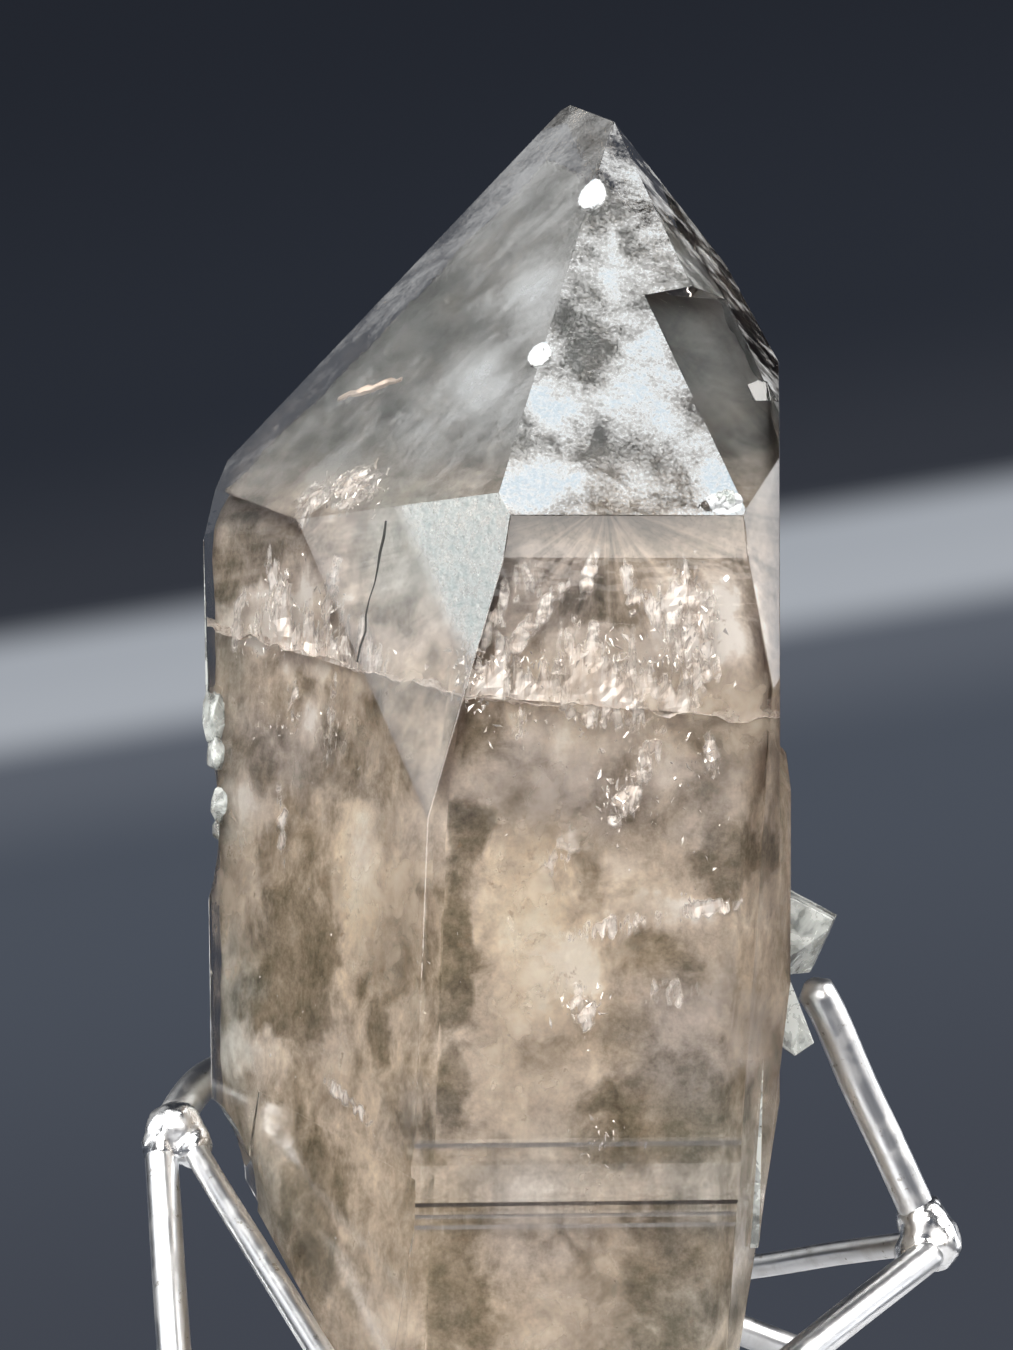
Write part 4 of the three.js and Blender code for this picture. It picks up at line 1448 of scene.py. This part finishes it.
@dataclass
class Stand:
    """The silver stand: rods that end in lumps of solder."""

    sides: int = 28
    step: float = 0.0009
    solder_skin: Skin = Skin(0.00024, 10, 0.0022, 0.0008, 0.45)
    rods: tuple[Rod, ...] = (
        Rod("claw_left", 1.5, ((-27.2, 2.8, 27.4), (-26.2, 6.4, 29.4), (-25.2, 10, 30.6), (-23.7, 13.4, 31))),
        Rod("claw_right", 1.5, (
            (34, 4, 19), (31, 3.4, 25.6), (28.2, 2.8, 31.6), (25.3, 2.2, 38.2), (24.3, 1.9, 39.4),
        )),
        Rod("claw_back", 1.5, ((10.4, 34.6, 10.6), (8.6, 28, 20), (7.2, 22.9, 29), (6.6, 19.6, 32.4))),
        Rod("leg_left", 1.35, ((-27.9, 2.6, 26.5), (-24.8, -14, 1.6))),
        Rod("leg_right", 1.35, ((34.6, 3.4, 17.6), (3.5, -36, 1.6))),
        Rod("leg_back", 1.35, ((11, 34.6, 9.8), (30.7, 39, 1.6))),
        Rod("brace_left", 1.0, ((-25.5, 2.6, 26.3), (-4.5, -36, 1.6))),
        Rod("brace_right", 1.0, ((33.4, 4.6, 18), (10.5, 35, 10))),
        Rod("brace_back", 1.0, ((10, 34.4, 10), (-23.4, -7.5, 1.6))),
    )
    solders: tuple[Solder, ...] = (
        Solder("knee_left", (
            ((-26.8, 3, 27.6), (2.4, 2.2, 2.0)), ((-27.7, 2.4, 25.9), (1.7, 1.9, 1.9)),
            ((-25.3, 2.4, 26.1), (1.7, 1.7, 1.8)),
        )),
        Solder("knee_right", (
            ((33.7, 4, 19.6), (2.2, 2.2, 2.4)), ((35.0, 3.6, 18.2), (1.8, 2.0, 2.3)),
            ((33.2, 3.6, 17.6), (1.9, 2.0, 1.7)),
        )),
        Solder("knee_back", (((10.5, 35, 10.4), (2.4, 2.3, 2.4)), ((11.6, 34.4, 9.3), (1.7, 1.8, 1.6)))),
        Solder("foot_left", (
            ((-24.8, -14, 1.4), (2.0, 2.0, 2.0)), ((-24.1, -10.7, 1.3), (1.7, 3.0, 1.7)),
            ((-23.4, -7.5, 1.4), (2.0, 2.0, 2.0)),
        )),
        Solder("foot_front", (
            ((-4.5, -36, 1.4), (2.0, 2.0, 2.0)), ((-0.5, -36, 1.3), (4.4, 1.7, 1.7)),
            ((3.5, -36, 1.4), (2.0, 2.0, 2.0)),
        )),
        Solder("foot_back", (
            ((30.7, 39, 1.4), (2.0, 2.0, 2.0)), ((34.4, 39, 1.3), (4.0, 1.7, 1.7)),
            ((38, 39, 1.4), (2.0, 2.0, 2.0)),
        )),
    )

    def build(self) -> None:
        """Makes every piece of the stand."""
        bright = SilverFinish("silver_rod").material()
        melted = SilverFinish("silver_solder", smooth=0.20, rough=0.42, relief=0.00010).material()
        for rod in self.rods:
            self.rod(rod, bright)
        for solder in self.solders:
            self.solder(solder, melted)

    def rod(self, rod: Rod, material: Material) -> None:
        """One rod with rounded ends, a little uneven along its length."""
        corners = [put(*spot) for spot in rod.spots]
        middle: list[Vector] = []
        for start, end in zip(corners, corners[1:]):
            count = max(int((end - start).length / self.step), 2)
            middle += [start.lerp(end, n / count) for n in range(count)]
        middle.append(corners[-1])
        for _ in range(6):
            for n in range(1, len(middle) - 1):
                middle[n] = middle[n].lerp((middle[n - 1] + middle[n + 1]) / 2, 0.6)
        for spot in middle:
            spot += rod.wave * MM * noise.noise_vector(spot * 90)
        ends = 0.6 * rod.radius * MM
        length = sum((b - a).length for a, b in zip(middle, middle[1:]))
        round_end = ends / length

        def swell(t: float) -> float:
            """The rod's radius, drawn in at both ends."""
            near = min(t, 1 - t) / round_end
            return 1.0 if near >= 1 else max(0.35, math.sqrt(1 - (1 - near) ** 2))

        shape = bmesh.new()
        tube(shape, middle, rod.radius * MM, self.sides, swell)
        for f in shape.faces:
            f.smooth = True
        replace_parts(finished(rod.name + "_rod", shape, material), rod.name)

    def solder(self, solder: Solder, material: Material) -> None:
        """One joint: beads run together, with an uneven skin."""
        shape = bmesh.new()
        for centre, size in solder.beads:
            scale = Matrix.Diagonal((*(length * MM for length in size), 1))
            place = Matrix.Translation(put(*centre)) @ scale
            bmesh.ops.create_icosphere(shape, subdivisions=3, radius=1.0, matrix=place)
        shape = self.solder_skin.over(shape, solder.name)
        rim = cut_off(shape, Vector(), Vector((0, 0, -1)))
        if rim:
            bmesh.ops.holes_fill(shape, edges=rim)
        for f in shape.faces:
            f.smooth = abs(f.normal.z + 1) > 1e-4
        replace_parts(finished(solder.name + "_solder", shape, material), solder.name)


@dataclass(frozen=True)
class Softbox:
    """A rectangular light that looks at the crystal's middle from a bearing and a lean, in metres and watts."""

    name: str
    bearing: float
    lean: float
    far: float
    wide: float
    high: float
    power: float
    colour: Colour
    aim: Vector = put(0, 0, 60)

    def hang(self) -> None:
        """Puts the light in the scene."""
        way = facing(self.bearing, self.lean)
        data = bpy.data.lights.new(self.name, "AREA")
        data.shape = "RECTANGLE"
        data.size, data.size_y = self.wide, self.high
        data.energy = self.power
        data.color = self.colour
        lamp = bpy.data.objects.new(self.name, data)
        lamp.location = self.aim + way * self.far
        lamp.rotation_euler = (-way).to_track_quat("-Z", "Y").to_euler()
        bpy.context.scene.collection.objects.link(lamp)


@dataclass
class Studio:
    """The camera, the lights, the dim room and the floor."""

    eye: Vector = field(default_factory=lambda: put(0, -330, 64))
    lens: float = 110.0
    sensor: float = 36.0
    floor_radius: float = 0.060
    band_tilt: float = 0.16
    band_height: float = 0.0133
    band_reach: float = 0.16
    sky: Scale = (
        (0.0, (0.055, 0.062, 0.080)), (0.36, (0.070, 0.082, 0.106)), (0.44, (0.105, 0.118, 0.145)),
        (0.482, (0.38, 0.405, 0.445)), (0.522, (0.36, 0.385, 0.425)), (0.565, (0.033, 0.037, 0.048)),
        (0.70, (0.022, 0.026, 0.036)), (1.0, (0.017, 0.020, 0.028)),
    )
    lamps: tuple[Softbox, ...] = (
        Softbox("key_above_left", -35, 48, 0.55, 0.50, 0.40, 5.0, (1.0, 0.99, 0.97)),
        Softbox("front_above", 10, 17, 0.75, 0.34, 0.22, 1.45, (1.0, 0.95, 0.90)),
        Softbox("front_low", 10, 5.4, 0.75, 0.34, 0.080, 0.17, (1.0, 0.97, 0.94)),
        Softbox("front_fill", -24, 8, 0.80, 0.30, 0.34, 3.3, (1.0, 0.98, 0.96)),
        Softbox("left_low", -80, 16, 0.50, 0.30, 0.34, 0.66, (0.97, 0.98, 1.0)),
        Softbox("left_back", -130, 30, 0.55, 0.40, 0.50, 0.25, (1.0, 0.99, 0.97)),
        Softbox("right_back", 116, 10, 0.50, 0.22, 0.42, 0.9, (0.97, 0.98, 1.0)),
        Softbox("right_front", 74, 33, 0.55, 0.34, 0.34, 3.6, (1.0, 0.97, 0.94)),
    )

    def build(self) -> None:
        """Sets up everything that isn't part of the object."""
        self.camera()
        self.room()
        self.floor()
        self.lights()
        settings = bpy.context.scene.view_settings
        settings.view_transform = "Standard"
        cycles = bpy.context.scene.cycles
        cycles.use_light_tree = False
        cycles.max_bounces = 7
        cycles.diffuse_bounces = 3
        cycles.glossy_bounces = 4
        cycles.transmission_bounces = 7
        cycles.transparent_max_bounces = 20

    def camera(self) -> None:
        """The camera at the photograph's place, level and looking along +Y."""
        data = bpy.data.cameras.new("camera")
        data.lens = self.lens
        data.sensor_width = self.sensor
        data.clip_start = 0.01
        camera = bpy.data.objects.new("camera", data)
        camera.location = self.eye
        camera.rotation_euler = (math.radians(90), 0, 0)
        bpy.context.scene.collection.objects.link(camera)
        bpy.context.scene.camera = camera

    def room(self) -> None:
        """A dim blue-grey room with a soft light band round the horizon."""
        world = bpy.data.worlds.new("dim_room")
        world.use_nodes = True
        bpy.context.scene.world = world
        tree = world.node_tree
        tree.nodes.clear()
        output = tree.nodes.new("ShaderNodeOutputWorld")
        light = tree.nodes.new("ShaderNodeBackground")
        ramp = tree.nodes.new("ShaderNodeValToRGB")
        height = tree.nodes.new("ShaderNodeVectorMath")
        height.operation = "DOT_PRODUCT"
        height.inputs[1].default_value = Vector((-self.band_tilt, 0, 1)).normalized()
        shift = tree.nodes.new("ShaderNodeMapRange")
        shift.inputs["From Min"].default_value = self.band_height - self.band_reach
        shift.inputs["From Max"].default_value = self.band_height + self.band_reach
        coordinates = tree.nodes.new("ShaderNodeTexCoord")
        ramp.color_ramp.interpolation = "EASE"
        for place, colour in self.sky[1:-1]:
            ramp.color_ramp.elements.new(place).color = (*colour, 1)
        ramp.color_ramp.elements[0].color = (*self.sky[0][1], 1)
        ramp.color_ramp.elements[-1].color = (*self.sky[-1][1], 1)
        tree.links.new(coordinates.outputs["Generated"], height.inputs[0])
        tree.links.new(height.outputs["Value"], shift.inputs["Value"])
        tree.links.new(shift.outputs["Result"], ramp.inputs["Fac"])
        tree.links.new(ramp.outputs["Color"], light.inputs["Color"])
        tree.links.new(light.outputs[0], output.inputs["Surface"])

    def floor(self) -> None:
        """A pale disc that the stand rests on, just under the camera's view."""
        shape = bmesh.new()
        bmesh.ops.create_circle(shape, cap_ends=True, segments=96, radius=self.floor_radius)
        mesh = bpy.data.meshes.new("studio_floor")
        shape.to_mesh(mesh)
        shape.free()
        mesh.materials.append(FloorFinish().material())
        floor = bpy.data.objects.new("studio_floor", mesh)
        floor.location.z = -0.00005
        bpy.context.scene.collection.objects.link(floor)

    def lights(self) -> None:
        """Soft lights where the photograph's bright faces mirror them."""
        for lamp in self.lamps:
            lamp.hang()


def main() -> None:
    """Loads the frame and builds the studio and the object."""
    noise.seed_set(NOISE_SEED)
    logging.basicConfig(level=logging.INFO, format="%(name)s: %(message)s")
    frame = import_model()
    Studio().build()
    shape = CrystalShape(frame["nodes"]["crystal"])
    shape.find_planes()
    Crystal(shape).build()
    Stand().build()


if __name__ == "__main__":
    main()
